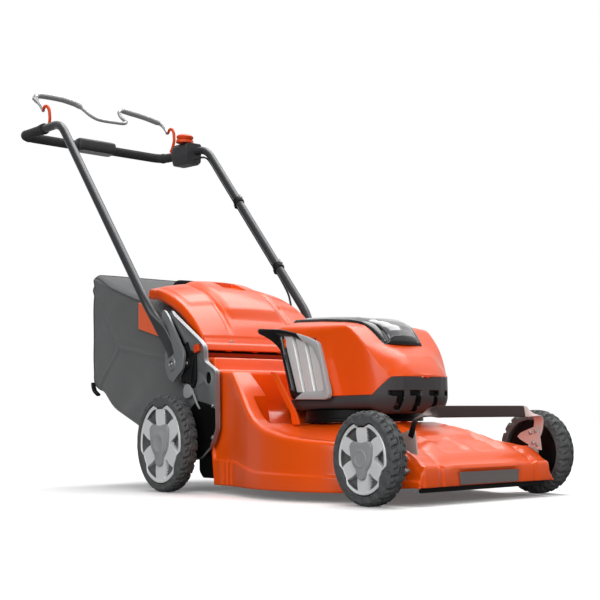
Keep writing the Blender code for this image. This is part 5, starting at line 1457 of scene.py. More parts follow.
    def build_corners(self) -> None:
        """Moulded corner pieces at the foot of the rear wall."""
        for side in Side:
            path = np.array([(0.199, 1.206, 0.2525), (0.1995, 1.228, 0.264), (0.1995, 1.2355, 0.276),
                             (0.199, 1.238, 0.288)])
            path = spaced(rounded(path, 0.008, 4), 32) * (side.sign, 1, 1)
            shape = Shape().tube(at(path), ellipse(0.004, 0.0065, 3.5, 16), (1, 0, 0))
            shape.piece(f"bag_corner_{side.tag}", "bag", BLACK_PLASTIC, "black_plastic")

    def build_mouth(self) -> None:
        """The mouth's frame: a rounded bar round the opening."""
        outer = np.array([(-0.196, 0.161), (0.196, 0.161), (0.196, 0.329), (-0.196, 0.329)])
        path = crosswise(0.6965, closed_line(outer * 0.985 + (0, 0.0037), 0.02, 6))
        shape = Shape().ring(carried(spaced(path, 200, True), ellipse(0.007, 0.0032, 5, 14), (0, 1, 0)))
        shape.piece("mouth_frame", "bag", DARK_PLASTIC, "dark_plastic", ["bag_frame"])

    def build_grip(self) -> None:
        """The carrying grip on the roof: a flat arch that swells in its middle, on two feet."""
        top = 0.5482
        arch = np.array([(-0.06, 1.02, top - 0.004), (-0.052, 1.02, top + 0.014),
                         (0.052, 1.02, top + 0.014), (0.06, 1.02, top - 0.004)]) + (0, 0, 0.003)
        path = spaced(rounded(arch, 0.016, 6), 60)
        swell = 1 + 0.35 * np.cos(np.linspace(-np.pi / 2, np.pi / 2, 60))
        shape = Shape().tube(at(path), ellipse(0.0055, 0.0026, 3, 16), (0, 1, 0), swell)
        shape.piece("roof_grip", "bag", BLACK_PLASTIC, "black_plastic", ["bag_grip"])

    def build(self) -> None:
        """Makes the whole bag."""
        self.build_mouth()
        self.build_skin()
        self.build_welts()
        self.build_patches()
        self.build_corners()
        self.build_grip()


# Brackets


@dataclass
class Bracket:
    """One side plate with its folded rim, latch, lever and release tab."""

    side: Side
    x: float = 0.2085
    thick: float = 0.003
    rim: float = 0.0215
    outline: Table = ((0.7915, 0.447), (0.774, 0.452), (0.765, 0.4436), (0.6293, 0.3605), (0.6141, 0.3474),
                      (0.6111, 0.3104), (0.564, 0.2876), (0.563, 0.15), (0.584, 0.115), (0.64, 0.08),
                      (0.706, 0.072), (0.714, 0.112), (0.7, 0.2), (0.722, 0.262), (0.766, 0.29),
                      (0.787, 0.35))
    hole: tuple[float, float, float, float] = (0.608, 0.2718, 0.013, 0.015)
    boss: tuple[float, float] = (0.69, 0.3115)

    def flat(self, line: np.ndarray, x: float) -> np.ndarray:
        """An outline of (station, z) laid upright at a distance from the middle."""
        return upright(self.side.sign * x, line)

    def build_plate(self) -> None:
        """The plate: a bezel from its outline to the hole's, closed in front, behind and inside.

        A folded rim follows the outline's upper part, with a pale steel rod along its crest as a painted
        highlight.
        Black sheets of painted shade close the hole, the gap beside the handle's arm and the plate's lower
        face.
        """
        outer = closed_line(self.outline, 0.008, 4, 180)
        y, z, a, b = self.hole
        turn = np.arctan2(outer[:, 1] - z, outer[:, 0] - y)
        inner = np.column_stack([y + a * np.cos(turn), z + b * np.sin(turn)])
        near = 1.0 + 0.45 / (1 + (np.linalg.norm(outer - (y, z), axis=1) / 0.02) ** 2)
        raised = inner + (inner - (y, z)) * 0.3 * near[:, None]
        sign = self.side.sign
        t = self.thick
        rings = [(outer, 0.0), (outer, t - 0.0006), (outer + (raised - outer) * 0.006, t), (raised, t),
                 (raised + (inner - raised) * 0.4, t + 0.0016),
                 (inner + (raised - inner) * 0.1, t + 0.0018), (inner, t + 0.0012), (inner, 0.0)]
        grid = np.stack([self.flat(line, self.x + h) for line, h in rings], 1)
        shape = Shape().ring(grid)
        edge = [(0.788, 0.4465), (0.774, 0.4505), *self.outline[2:9], (0.606, 0.102)]
        path = spaced(rounded(edge, 0.01, 5), 150)
        share = np.linspace(0, 1, 150)
        ending = 1 - ramp(0.94, 1.0, share) * 0.9
        wide = (self.rim - 0.0115) * (0.15 + 0.85 * ramp(0.0, 0.1, share)) * ending
        line = self.flat(path, self.x + t)
        line[:, 0] += sign * wide / 2
        flat = ellipse(0.001, 0.5, 8, 16)
        section = np.stack([np.broadcast_to(flat[:, 0], (150, 16)), flat[:, 1] * wide[:, None] * 1.02], -1)
        shape.tube(line, section, (1, 0, 0))
        tag = self.side.tag
        # Painted highlight: a pale steel rod along the rim's crest.
        painted_highlight = Shape()
        crest = self.flat(path[4:-4], self.x + t + 0.0004)
        painted_highlight.tube(crest, ellipse(0.0011, 0.0011, 2, 8), (1, 0, 0))
        painted_highlight.piece(f"plate_edge_{tag}", "chassis", BARE_STEEL_AND_HIGHLIGHT, "plain_steel")
        # Painted shade: black sheets behind the hole, in the gap beside the arm and over the plate's lower
        # face.
        dark = Shape().slab(self.flat(inner + (inner - (y, z)) * 0.1, self.x - 0.0012),
                            (-sign * 0.001, 0, 0))
        gap = [(0.7966, 0.4441), (0.7866, 0.4406), (0.7097, 0.3559), (0.7239, 0.3544)]
        dark.slab(self.flat(gap, self.x + t), (sign * 0.0006, 0, 0))
        low = [(0.5665, 0.19), (0.5665, 0.153), (0.586, 0.119), (0.641, 0.0845), (0.702, 0.0765),
               (0.7095, 0.112), (0.696, 0.196), (0.66, 0.22), (0.6, 0.208)]
        dark.slab(self.flat(closed_line(low, 0.006, 4), self.x + t), (sign * 0.0008, 0, 0))
        dark.piece(f"plate_painted_shade_{tag}", "chassis", MOTOR_BLACK_AND_PAINTED_SHADE, "black_plastic")
        shape.piece(f"side_plate_{tag}", "chassis", PLATE_STEEL, "bracket_steel", [f"handle_bracket_{tag}"],
                    sharp=45)

    def build_latch(self) -> None:
        """The black latch body: a toothed block, a round boss and two ribs between plate and arm."""
        tag, sign = self.side.tag, self.side.sign
        block = [(0.716, 0.345), (0.706, 0.356), (0.6977, 0.3664), (0.6945, 0.356), (0.6871, 0.343),
                 (0.67, 0.34), (0.658, 0.333), (0.6565, 0.27), (0.666, 0.253), (0.6737, 0.249),
                 (0.696, 0.26), (0.7056, 0.2688), (0.712, 0.262), (0.723, 0.266), (0.7235, 0.28),
                 (0.714, 0.29), (0.715, 0.306), (0.721, 0.315), (0.716, 0.3241), (0.704, 0.33)]
        shape = Shape().slab(self.flat(closed_line(block, 0.003, 3), 0.212), (sign * 0.0062, 0, 0), 0.001)
        profile = [(0.0, 0.0105), (0.0085, 0.0105), (0.0115, 0.0096), (0.0125, 0.008), (0.013, 0.0)]
        boss = spun(profile, 26, "x")
        teeth = 1 + 0.05 * np.cos(13 * turns(26))[:, None]
        boss[..., 1:] *= teeth[..., None]
        boss[..., 0] *= sign
        shape.grid(boss + at((sign * 0.2118, *self.boss)), round_rows=True, solid=True)
        for ends in (((0.662, 0.322), (0.676, 0.262)), ((0.672, 0.332), (0.694, 0.352))):
            shape.tube(np.linspace(*self.flat(ends, 0.2195), 8), ellipse(0.002, 0.0022, 4, 10), (1, 0, 0))
        shape.piece(f"latch_body_{tag}", "chassis", BLACK_PLASTIC, "black_plastic", [f"latch_block_{tag}"],
                    sharp=35)
        bolts = Shape()
        for place, radius, height in (((0.2116, 0.59, 0.13), 0.006, 0.004),
                                      ((0.2116, 0.59, 0.205), 0.005, 0.0034),
                                      ((0.2222, *self.boss), 0.005, 0.0012)):
            bolts.rod(bolt(at(place) * (sign, 1, 1), (sign, 0, 0), radius, height))
        bolts.piece(f"plate_bolts_{tag}", "chassis", BARE_STEEL_AND_HIGHLIGHT, "plain_steel")

    def build_lever(self) -> None:
        """The pale cam lever with a thin finger that points down."""
        tag, sign = self.side.tag, self.side.sign
        cam = [(0.705, 0.256), (0.692, 0.261), (0.68, 0.2575), (0.6715, 0.247), (0.67, 0.234),
               (0.68, 0.227), (0.6971, 0.2255), (0.708, 0.232), (0.7095, 0.246)]
        shape = Shape().slab(self.flat(closed_line(cam, 0.004, 3), 0.2148), (sign * 0.0066, 0, 0), 0.0012)
        finger = [(0.684, 0.256), (0.672, 0.245), (0.66, 0.228), (0.65, 0.212), (0.637, 0.199)]
        path = spaced(rounded(finger, 0.006, 4), 40)
        shape.tube(self.flat(path, 0.2184), ellipse(0.0036, 0.0028, 4, 14), (1, 0, 0),
                   np.linspace(1.0, 0.55, 40))
        name = "lock_right" if self.side is Side.RIGHT else "lock_left"
        shape.piece(f"cam_lever_{tag}", name, LEVER_GREY, "lever_grey", [f"lock_lever_{tag}"], sharp=35)

    def build_tab(self) -> None:
        """The orange release tab: a small slab with rounded corners and three grip ribs."""
        tag, sign = self.side.tag, self.side.sign
        line = closed_line([(0.639, 0.3385), (0.66, 0.334), (0.6625, 0.353), (0.643, 0.357)], 0.003, 3)
        shape = Shape().slab(self.flat(line, 0.2118), (sign * 0.0085, 0, 0), 0.0012)
        for z in (0.3405, 0.3455, 0.3505):
            ridge = np.linspace(*self.flat(((0.6425, z), (0.6595, z)), 0.2205), 6)
            shape.tube(ridge, ellipse(0.001, 0.001, 2, 8), (1, 0, 0))
        name = "tab_right" if self.side is Side.RIGHT else "tab_left"
        shape.piece(f"tab_shell_{tag}", name, ORANGE_TRIM, "orange_trim", [f"release_tab_{tag}"], sharp=40)

    def build(self) -> None:
        """Makes the plate and what it carries."""
        self.build_plate()
        self.build_latch()
        self.build_lever()
        self.build_tab()


# Handle


def smooth(points: np.ndarray, count: int) -> np.ndarray:
    """Evenly spaced points on a curve through the route's points.

    Each span is the cubic whose ends' directions are half the step between their neighbours.

    Args:
        points: route (n, 3).
        count: how many points to return.

    Returns:
        Points (count, 3).
    """
    ends = np.vstack([2 * points[0] - points[1], points, 2 * points[-1] - points[-2]])
    a, b, c, d = ends[:-3, None], ends[1:-2, None], ends[2:-1, None], ends[3:, None]
    t = np.linspace(0, 1, 12, endpoint=False)[None, :, None]
    square, cube = 2 * a - 5 * b + 4 * c - d, 3 * b - a - 3 * c + d
    curve = 0.5 * (2 * b + (c - a) * t + square * t ** 2 + cube * t ** 3)
    return spaced(np.vstack([curve.reshape(-1, points.shape[1]), points[-1:]]), count)


@dataclass
class Handle:
    """The folding handle: tube, arms, grips, console, control box, button, bail, cable and clips."""

    x: float = 0.26
    end_x: float = 0.229
    tube_r: float = 0.0125
    pivot: tuple[float, float] = (0.746, 0.313)
    knee: tuple[float, float] = (0.815, 0.464)
    bend: tuple[float, float] = (1.345, 1.073)
    bar: tuple[float, float] = (1.632, 1.1)
    bar_r: float = 0.0165
    lean: tuple[float, float, float] = (0.0, 0.75, -0.66)
    bail_axis: tuple[float, float] = (1.517, 1.095)

    @property
    def arm_rise(self) -> float:
        """Height gained for each metre of the upper arm."""
        return (self.bar[1] - self.bend[1]) / (self.bar[0] - self.bend[0])

    def half_route(self, side: Side) -> list[tuple[float, float, float]]:
        """Corners of the tube's centre line on one side, from the pivot to the bar."""
        s = side.sign
        return [(s * self.end_x, self.pivot[0] + 0.002, self.pivot[1] + 0.02),
                (s * self.end_x, self.pivot[0] + 0.014, self.pivot[1] + 0.048), (s * self.x, *self.knee),
                (s * self.x, *self.bend), (s * self.x, *self.bar)]

    def build_tube(self) -> None:
        """The bent tube. Below the knee its round section gives way to a flat one by a smooth step."""
        corners = self.half_route(Side.RIGHT) + self.half_route(Side.LEFT)[::-1]
        path = spaced(rounded(corners, 0.045, steps=10), 620)
        flat = (1 - ramp(0.395, 0.45, path[:, 2]))[:, None, None]
        tube, bar = ellipse(self.tube_r, self.tube_r, 2, 24), ellipse(0.0046, 0.0185, 3, 24)
        section = tube * (1 - flat) + bar * flat
        shape = Shape().tube(at(path), section, self.lean)
        shape.piece("push_tube", "handle", TUBE_GREY, "tube_paint", ["handle_tube"], sharp=40)
        for side in Side:
            self.build_arm(side)

    def build_arm(self, side: Side) -> None:
        """The pressed arm at the pivot: a plate that widens downwards, dished round its eye."""
        line = [(0.798, 0.428), (0.784, 0.395), (0.7775, 0.3409), (0.779, 0.3122), (0.766, 0.28),
                (0.74, 0.2644), (0.7242, 0.2788), (0.706, 0.289), (0.693, 0.2978), (0.686, 0.3348),
                (0.692, 0.3447), (0.7273, 0.3891), (0.758, 0.43), (0.774, 0.446), (0.79, 0.456)]
        outer = closed_line(line, 0.012, 4, 120)
        y, z = self.pivot
        turn = np.arctan2(outer[:, 1] - z, outer[:, 0] - y)
        circle = np.column_stack([np.cos(turn), np.sin(turn)])
        rings = [(outer, -0.003), (outer, 0.0022), (outer + ((y, z) - outer) * 0.03, 0.0032)]
        dish = ((0.019, 0.0032), (0.0172, 0.0056), (0.012, 0.006), (0.0085, 0.006), (0.0078, 0.005),
                (0.0078, -0.003))
        rings += [((y, z) + circle * r, h) for r, h in dish]
        s = side.sign
        grid = np.stack([upright(s * (self.end_x + h), ring) for ring, h in rings], 1)
        shape = Shape().ring(grid)
        shape.piece(f"tube_arm_{side.tag}", "handle", PLATE_STEEL, "tube_paint", sharp=40)
        pin = Shape().rod(bolt(at((s * (self.end_x - 0.001), y, z)), (s, 0, 0), 0.0056, 0.0062))
        pin.piece(f"pivot_pin_{side.tag}", "chassis", BARE_STEEL_AND_HIGHLIGHT, "plain_steel")

    def build_grip(self) -> None:
        """The foam grip: a sleeve whose radius has rings at both ends and at its joints."""
        start, stop, rise = 0.172, 0.105, self.arm_rise
        y, z = self.bar
        corners = np.array([(-self.x, y - start, z - start * rise), (-self.x, y, z), (self.x, y, z),
                            (self.x, y - stop, z - stop * rise)])
        path = spaced(rounded(corners, 0.045, steps=10), 420)
        run = np.concatenate([[0], np.cumsum(np.linalg.norm(np.diff(path, axis=0), axis=1))])
        radius = np.full(420, self.bar_r - 0.001)
        for middle, half, height in ((0.004, 0.004, 0.0016), (0.018, 0.003, 0.0012), (0.15, 0.005, 0.0016),
                                     (0.172, 0.003, 0.0012), (run[-1] - 0.09, 0.005, 0.0016),
                                     (run[-1] - 0.004, 0.004, 0.0014)):
            radius += height * band(middle - half, middle + half, 0.0015, run)
        radius -= 0.0018 * band(0.028, 0.14, 0.01, run) * 0.4
        shape = Shape().tube(at(path), ellipse(1, 1, 2, 28), self.lean, radius)
        shape.piece("grip_sleeve", "handle", GRIP_FOAM, "grip_foam", ["grip_bar"], sharp=50)

    def build_console(self) -> None:
        """The console on the bar: rounded sections along X, with a paler plate let into its underside."""
        share = np.array([-1.0, -0.985, -0.95, -0.9, -0.8, -0.4, 0.0, 0.4, 0.8, 0.9, 0.95, 0.985, 1.0])
        path = joined(-0.001 + 0.067 * share, self.bar[0] + 0.002, self.bar[1] + 0.005)
        size = np.array([0.8, 0.88, 0.94, 0.97, 0.99, 1.0, 1.0, 1.0, 0.99, 0.97, 0.94, 0.88, 0.8])
        shape = Shape().tube(at(path), ellipse(0.027, 0.0215, 3.2, 36), (0, 0, 1), size)
        shape.piece("bar_console", "handle", DARK_PLASTIC, "black_plastic", ["console"], sharp=40)
        line = ellipse(0.06, 0.019, 6, 40)
        under = at(joined(-0.001 + line[:, 0], self.bar[0] + 0.002 + line[:, 1], self.bar[1] - 0.0158))
        shape = Shape().slab(under, (0, 0, -0.0016), 0.001)
        shape.piece("console_plate", "handle", LEVER_GREY, "black_plastic")

    def build_control(self) -> None:
        """The control box on the left arm: eight-cornered sections along the arm, drawn in at its ends."""
        middle, rise, long = 1.455, self.arm_rise, 0.05
        share = np.array([-1.0, -0.97, -0.9, -0.78, -0.4, 0.0, 0.4, 0.78, 0.9, 0.97, 1.0])
        z = self.bend[1] + (middle - self.bend[0]) * rise
        tilt = math.atan(rise)
        path = joined(0.2475, middle + long * share * math.cos(tilt),
                      z - 0.01 + long * share * math.sin(tilt))
        size = np.array([0.95, 0.985, 1.0, 1.0, 1.0, 1.0, 1.0, 0.99, 0.95, 0.88, 0.78])
        corners = [(-0.031, 0.03), (-0.026, 0.037), (0.022, 0.037), (0.031, 0.026), (0.031, -0.01),
                   (0.022, -0.036), (-0.02, -0.037), (-0.031, -0.026)]
        shape = Shape().tube(at(path), closed_line(corners, 0.004, 4), (0, 0, 1), size)
        shape.piece("control_shell", "handle", DARK_PLASTIC, "dark_plastic", ["control_box"], sharp=30)
        seat = at((0.228, 1.43, z + 0.0282))
        turn = np.array(Matrix.Rotation(tilt, 3, "X"))
        base = spun([(0.0, 0.001), (0.0275, 0.001), (0.0278, 0.0044), (0.0284, 0.005), (0.029, 0.004),
                     (0.0294, -0.004), (0.0, -0.004)], 48)
        top = spun([(0.0, 0.0245), (0.017, 0.0238), (0.025, 0.0212), (0.0285, 0.017), (0.0285, 0.013),
                    (0.024, 0.0066), (0.0, 0.0064)], 48)
        for name, grid, node in (("button_cap", top, ["start_button"]), ("button_ring", base, [])):
            body = "start" if node else "handle"
            shape = Shape().grid(grid @ turn.T + seat, round_rows=True, solid=True)
            shape.piece(name, body, ORANGE_TRIM, "orange_trim", node)

    def build_bail(self) -> None:
        """The bail: a bar whose section widens to flat paddles, a thin dipping wire, and two hooks."""
        left = [(-0.229, 1.542, 1.168), (-0.234, 1.558, 1.192), (-0.243, 1.574, 1.215),
                (-0.2226, 1.583, 1.23), (-0.1532, 1.5844, 1.2321), (-0.1188, 1.5822, 1.2276),
                (-0.093, 1.579, 1.221), (-0.0736, 1.5714, 1.2057), (-0.0557, 1.5636, 1.1899),
                (-0.0328, 1.5582, 1.1788), (-0.004, 1.5571, 1.1766), (0.0334, 1.5578, 1.178)]
        right = [(0.066, 1.559, 1.1805), (0.078, 1.563, 1.189), (0.064, 1.5703, 1.2035),
                 (0.06, 1.58, 1.223), (0.076, 1.585, 1.233), (0.1036, 1.5832, 1.2297),
                 (0.1411, 1.5809, 1.2251), (0.1784, 1.5776, 1.2182), (0.2149, 1.5721, 1.207),
                 (0.228, 1.562, 1.19), (0.227, 1.542, 1.168)]
        path = smooth(np.array(left + right), 320)
        high = ramp(1.196, 1.214, path[:, 2])
        paddle = np.maximum(band(-0.243, -0.09, 0.012, path[:, 0]) * high,
                            band(0.08, 0.205, 0.012, path[:, 0]) * high)
        wide, tall = 0.0058 + 0.0044 * paddle, 0.0054 + 0.0026 * paddle
        ring = ellipse(1, 1, 2.6, 20)
        section = np.stack([ring[:, 0] * wide[:, None], ring[:, 1] * tall[:, None]], -1)
        shape = Shape().tube(at(path), section, (0, 0.46, 0.89))
        shape.piece("bail_bar", "bail_bar", BAIL_GREY, "bail_grey", ["bail"], sharp=50)
        hook = np.array([(1.544, 1.17), (1.533, 1.18), (1.512, 1.176), (1.5, 1.16), (1.496, 1.13),
                         (1.506, 1.108), (1.517, 1.095)])
        for side in Side:
            s = side.sign
            x = 0.23 - 0.005 * np.linspace(0, 1, len(hook))
            line = spaced(rounded(np.column_stack([s * x, hook]), 0.01, 5), 60)
            shape = Shape().tube(at(line), ellipse(0.005, 0.0042, 3, 14), (1, 0, 0))
            shape.rod(bolt(at((s * 0.229, *self.bail_axis)), (s, 0, 0), 0.007, 0.004))
            shape.piece(f"bail_hook_{side.tag}", "bail_bar", ORANGE_TRIM, "orange_trim",
                        [f"bail_lever_{side.tag}"])

    def on_tube(self, y: float) -> np.ndarray:
        """Centre of the left tube's straight part at a station, as (x, station, z)."""
        share = (y - self.knee[0]) / (self.bend[0] - self.knee[0])
        return np.array([self.x, y, self.knee[1] + share * (self.bend[1] - self.knee[1])])

    def build_cable(self) -> None:
        """The control cable: a round section along the smooth route, with a tapered sleeve at the box."""
        along = self.on_tube(1.2) - self.on_tube(1.0)
        along /= np.linalg.norm(along)
        under = np.array([0.0, along[2], -along[1]])
        offset = self.tube_r + 0.0042
        route = [(0.246, 1.398, 1.048), (0.252, 1.375, 1.049), (0.259, 1.35, 1.044)]
        straight = (1.31, 1.25, 1.2, 1.16, 1.1, 1.04, 0.98, 0.955, 0.93)
        route += [self.on_tube(y) + under * offset for y in straight]
        route += [(0.258, 0.905, 0.536), (0.254, 0.885, 0.49), (0.252, 0.86, 0.44), (0.2515, 0.825, 0.385),
                  (0.2515, 0.79, 0.345), (0.252, 0.772, 0.326), (0.2495, 0.762, 0.3165)]
        path = smooth(np.array(route, float), 320)
        radius = 0.003 + 0.0022 * (1 - np.linspace(0, 1, 320) * 22).clip(0, 1)
        shape = Shape().tube(at(path), ellipse(1, 1, 2, 12), (1, 0, 0), radius)
        shape.piece("cable_run", "handle", CABLE_BLACK, "grip_foam", ["control_cable"], sharp=60)
        for name, y in (("cable_clip_upper", 1.16), ("cable_clip_lower", 0.955)):
            middle = self.on_tube(y)
            turn = turns(36)
            ring = np.outer(np.cos(turn), (1, 0, 0)) + np.outer(np.sin(turn), under)
            profile = [(self.tube_r + 0.0003, -0.009), (self.tube_r + 0.0032, -0.009),
                       (self.tube_r + 0.004, -0.006), (self.tube_r + 0.004, 0.006),
                       (self.tube_r + 0.0032, 0.009), (self.tube_r + 0.0003, 0.009)]
            grid = np.stack([middle + ring * r + along * h for r, h in profile], 1)
            clip = Shape().ring(at(grid))
            lug = middle + under * (offset + 0.0006)
            ring = ring * 0.0064
            ends = ((0.85, -0.008), (1.0, -0.0065), (1.0, 0.0065), (0.85, 0.008))
            clip.rod(at(np.stack([lug + ring * k + along * h for k, h in ends])))
            clip.rod(bolt(at(middle + under * (offset + 0.006)), under, 0.0036, 0.003))
            clip.piece(f"tube_{name[6:]}", "handle", BLACK_PLASTIC, "black_plastic", [name])
            arc = np.linspace(-0.35 * np.pi, 0.85 * np.pi, 24)[:, None]
            foot = middle - under * (self.tube_r + 0.004)
            loop = foot + along * 0.013 * np.cos(arc) - under * 0.0065 * np.sin(arc)
            wire = Shape().tube(at(loop), ellipse(0.0011, 0.0011, 2, 8), (1, 0, 0))
            wire.piece(f"loop_{name[11:]}", "handle", BARE_STEEL_AND_HIGHLIGHT, "plain_steel")

    def build(self) -> None:
        """Makes the whole handle."""
        self.build_tube()
        self.build_grip()
        self.build_console()
        self.build_control()
        self.build_bail()
        self.build_cable()


# Wheels


@dataclass
class Wheel:
    """One wheel: a lugged tyre, a six-spoked hub with deep pockets and a three-lobed cap."""

    end: str
    side: Side
    station: float
    radius: float
    rim: float
    track: float
    lugs: int
    half_wide: float = 0.021
    tread_half: float = 0.0195
    shoulder: float = 0.0066
    groove: float = 0.0052
    notch: float = 0.135

    @property
    def tag(self) -> str:
        """The ending of this wheel's node names."""
        return f"{self.end}_{self.side.tag}"

    @property
    def body(self) -> str:
        """The frame body that turns with this wheel."""
        return f"wheel_{self.end}_{'right' if self.side is Side.RIGHT else 'left'}"

    def rim_line(self, turn: np.ndarray) -> np.ndarray:
        """The hub's outline: the rim's radius, cut in at three places by a plateau with sloping sides."""
        third = 2 * np.pi / 3
        off = np.abs((turn + third / 2) % third - third / 2)
        cut = 1.0 - np.clip((np.degrees(off) - 8.5) / 10.5, 0.0, 1.0)
        return self.rim * (1.0 - self.notch * cut)

    def place(self, out: np.ndarray | float, radius: np.ndarray, turn: np.ndarray) -> np.ndarray:
        """World points from the distance outwards along the axle, the radius and the angle from the top."""
        return at(joined(self.side.sign * (self.track + out), self.station + radius * np.sin(turn),
                         self.radius + radius * np.cos(turn)))

    def build_tyre(self) -> None:
        """The tyre: a closed profile round the axle whose tread is cut by a pattern of grooves.

        The profile runs from the rim over the outer wall, the tread and the inner wall. A groove's
        depth is a smooth plateau in the angle's share of one pitch, where the two shoulder rows are
        half a pitch apart. The blocks carry a hooked slot, and a zigzag runs round the middle.
        """
        steps = 14 * self.lugs
        turn = turns(steps)[:, None]
        edge = self.rim_line(turn[:, 0])[:, None] + 0.0026
        w, r = self.half_wide, self.radius
        across = np.concatenate([np.linspace(self.tread_half, 0.0115, 9), np.linspace(0.01, -0.01, 17),
                                 np.linspace(-0.0115, -self.tread_half, 9)])[None]
        drop = self.shoulder * (np.abs(across) / self.tread_half) ** 5
        climb = np.array([0.0, 0.02, 0.1, 0.25, 0.45, 0.65, 0.84, 0.95])[None]
        wall = edge + (r - self.shoulder - edge) * climb
        wall_out = np.broadcast_to(np.array([w - 0.0062, w - 0.0016, w - 0.0002, w, w - 0.0006, w - 0.0004,
                                             w - 0.0002, w - 0.0008])[None], wall.shape)
        inner = self.rim + 0.001
        back = inner + (r - self.shoulder - inner) * np.array([0.95, 0.8, 0.5, 0.2, 0.0])[None] + 0 * turn
        back_out = np.broadcast_to(np.array([-w + 0.0008, -w, -w + 0.001, -w, -w + 0.001])[None],
                                   back.shape)
        radius = np.concatenate([wall, (r - drop) + 0 * turn, back], axis=1)
        out = np.concatenate([wall_out, across + 0 * turn, back_out], axis=1)
        depth = self.pattern(turn, out) * ramp(r - 0.021, r - 0.01, radius)
        radius = radius - self.groove * depth * (1 - ramp(0.0165, 0.0185, out))
        walls = (np.abs(out) > 0.0199) & (radius > self.rim * 1.06)
        share = (turn / (2 * np.pi) * self.lugs) % 1.0
        relief = band(0.1, 0.62, 0.06, share) * ramp(r - 0.02, r - 0.016, radius)
        out = out + np.sign(out) * walls * (relief - 1.0) * 0.0016
        shape = Shape().ring(self.place(out, radius, turn))
        shape.piece(f"tread_{self.tag}", self.body, TYRE_GREY, "tyre_rubber", [f"tyre_{self.tag}"],
                    sharp=40)

    def pattern(self, turn: np.ndarray, out: np.ndarray) -> np.ndarray:
        """How deep the tread is cut, from 0 to 1, by angle and by the distance from its middle."""
        near = np.abs(out)
        pitch = turn / (2 * np.pi) * self.lugs + np.where(out < 0, 0.5, 0.0)
        slant = (near - 0.012) * 10.0
        share = (pitch + slant) % 1.0
        cross = band(0.72, 0.92, 0.05, share) * ramp(0.0045, 0.006, near)
        hook = band(0.3, 0.4, 0.04, share) * band(0.0085, 0.015, 0.0012, near)
        foot = band(0.3, 0.72, 0.05, share) * band(0.0078, 0.0094, 0.001, near)
        middle = 0.003 * np.where((pitch % 1.0) < 0.5, 1.0, -1.0)
        zigzag = band(middle - 0.001, middle + 0.001, 0.0008, out)
        return np.clip(np.maximum.reduce([cross, 0.8 * hook, 0.8 * foot, 0.9 * zigzag]), 0.0, 1.0)

    def pocket(self, share: np.ndarray, turn: np.ndarray) -> np.ndarray:
        """How far a place is inside the nearest pocket, from 0 to 1 with steep sides.

        A pocket lies midway between two spokes. Its half angle grows from 5 degrees at half the
        rim's radius to 17 degrees at nine tenths of it.
        """
        sixth = np.pi / 3
        off = np.degrees(np.abs(turn % sixth - sixth / 2))
        half = 4.5 + 12.5 * np.clip((share - 0.47) / 0.42, 0.0, 1.0)
        return ramp(0.0, 1.6, half - off) * band(0.5, 0.885, 0.016, share)

    def build_shade_dish(self) -> None:
        """The black dish that closes the wheel's inner side, from the axle's sleeve to the rim: a guessed
        part whose black is painted shade inside the wheel.
        """
        turn = turns(96)[:, None]
        radius = np.array([0.0175, 0.0175, self.rim * 0.55, self.rim - 0.006, self.rim - 0.0045,
                           self.rim - 0.006])[None]
        out = np.array([-0.0135, -0.012, -0.0105, -0.014, -0.015, -0.0155])[None]
        shape = Shape().ring(self.place(out, radius, turn))
        shape.piece(f"wheel_shade_dish_{self.tag}", self.body, MOTOR_BLACK_AND_PAINTED_SHADE, "black_plastic")

    def build_hub(self) -> None:
        """The hub: a disc in polar steps with a rim lip, dished towards the cap, and its six pockets.

        Pocket floors slope down towards the axle. The disc's outline follows the three notches, and
        a barrel closes it behind.
        """
        turn = turns(360)[:, None]
        share = np.concatenate([np.linspace(0.2, 0.46, 8), np.linspace(0.475, 0.91, 46),
                                np.linspace(0.925, 1.0, 8)])[None]
        line = self.rim_line(turn)
        near = np.clip((share - 0.86) / 0.14, 0.0, 1.0)
        radius = np.where(share > 0.86, self.rim * 0.86 + (line - self.rim * 0.86) * near, self.rim * share)
        dish = 0.003 * (1 - ramp(0.3, 0.8, share))
        lip = 0.001 * band(0.945, 0.985, 0.012, share)
        deep = self.pocket(share, turn)
        floor = 0.0075 + 0.006 * (1 - np.clip((share - 0.5) / 0.38, 0.0, 1.0))
        face = 0.0186 - dish + lip - floor * deep + 0 * turn
        skirt = np.stack([line[:, 0], line[:, 0], np.full(360, 0.02), np.full(360, 0.02)], axis=1)
        depth = np.broadcast_to(np.array([0.0165, 0.003, 0.003, 0.0165])[None], skirt.shape)
        grid = self.place(np.concatenate([face, depth], axis=1), np.concatenate([radius, skirt], axis=1),
                          turn)
        # Painted shade: the deep pocket floors and the barrel behind the disc get the darker grey.
        paint = np.zeros(grid.shape[:2], bool)
        paint[:, :face.shape[1]] = deep > 0.35
        paint[:, face.shape[1]:] = True
        shape = Shape().ring(grid, paint)
        barrel = spun([(0.0, -0.015), (0.0165, -0.015), (0.0165, 0.0165), (0.0, 0.0165)], 40, "x")
        barrel[..., 0] *= self.side.sign
        shape.grid(barrel + at((self.side.sign * self.track, self.station, self.radius)), round_rows=True,
                   solid=True)
        shape.piece(f"wheel_disc_{self.tag}", self.body, HUB_SILVER, "hub_silver", [f"hub_{self.tag}"],
                    sharp=36, second=POCKET_PAINTED_SHADE)

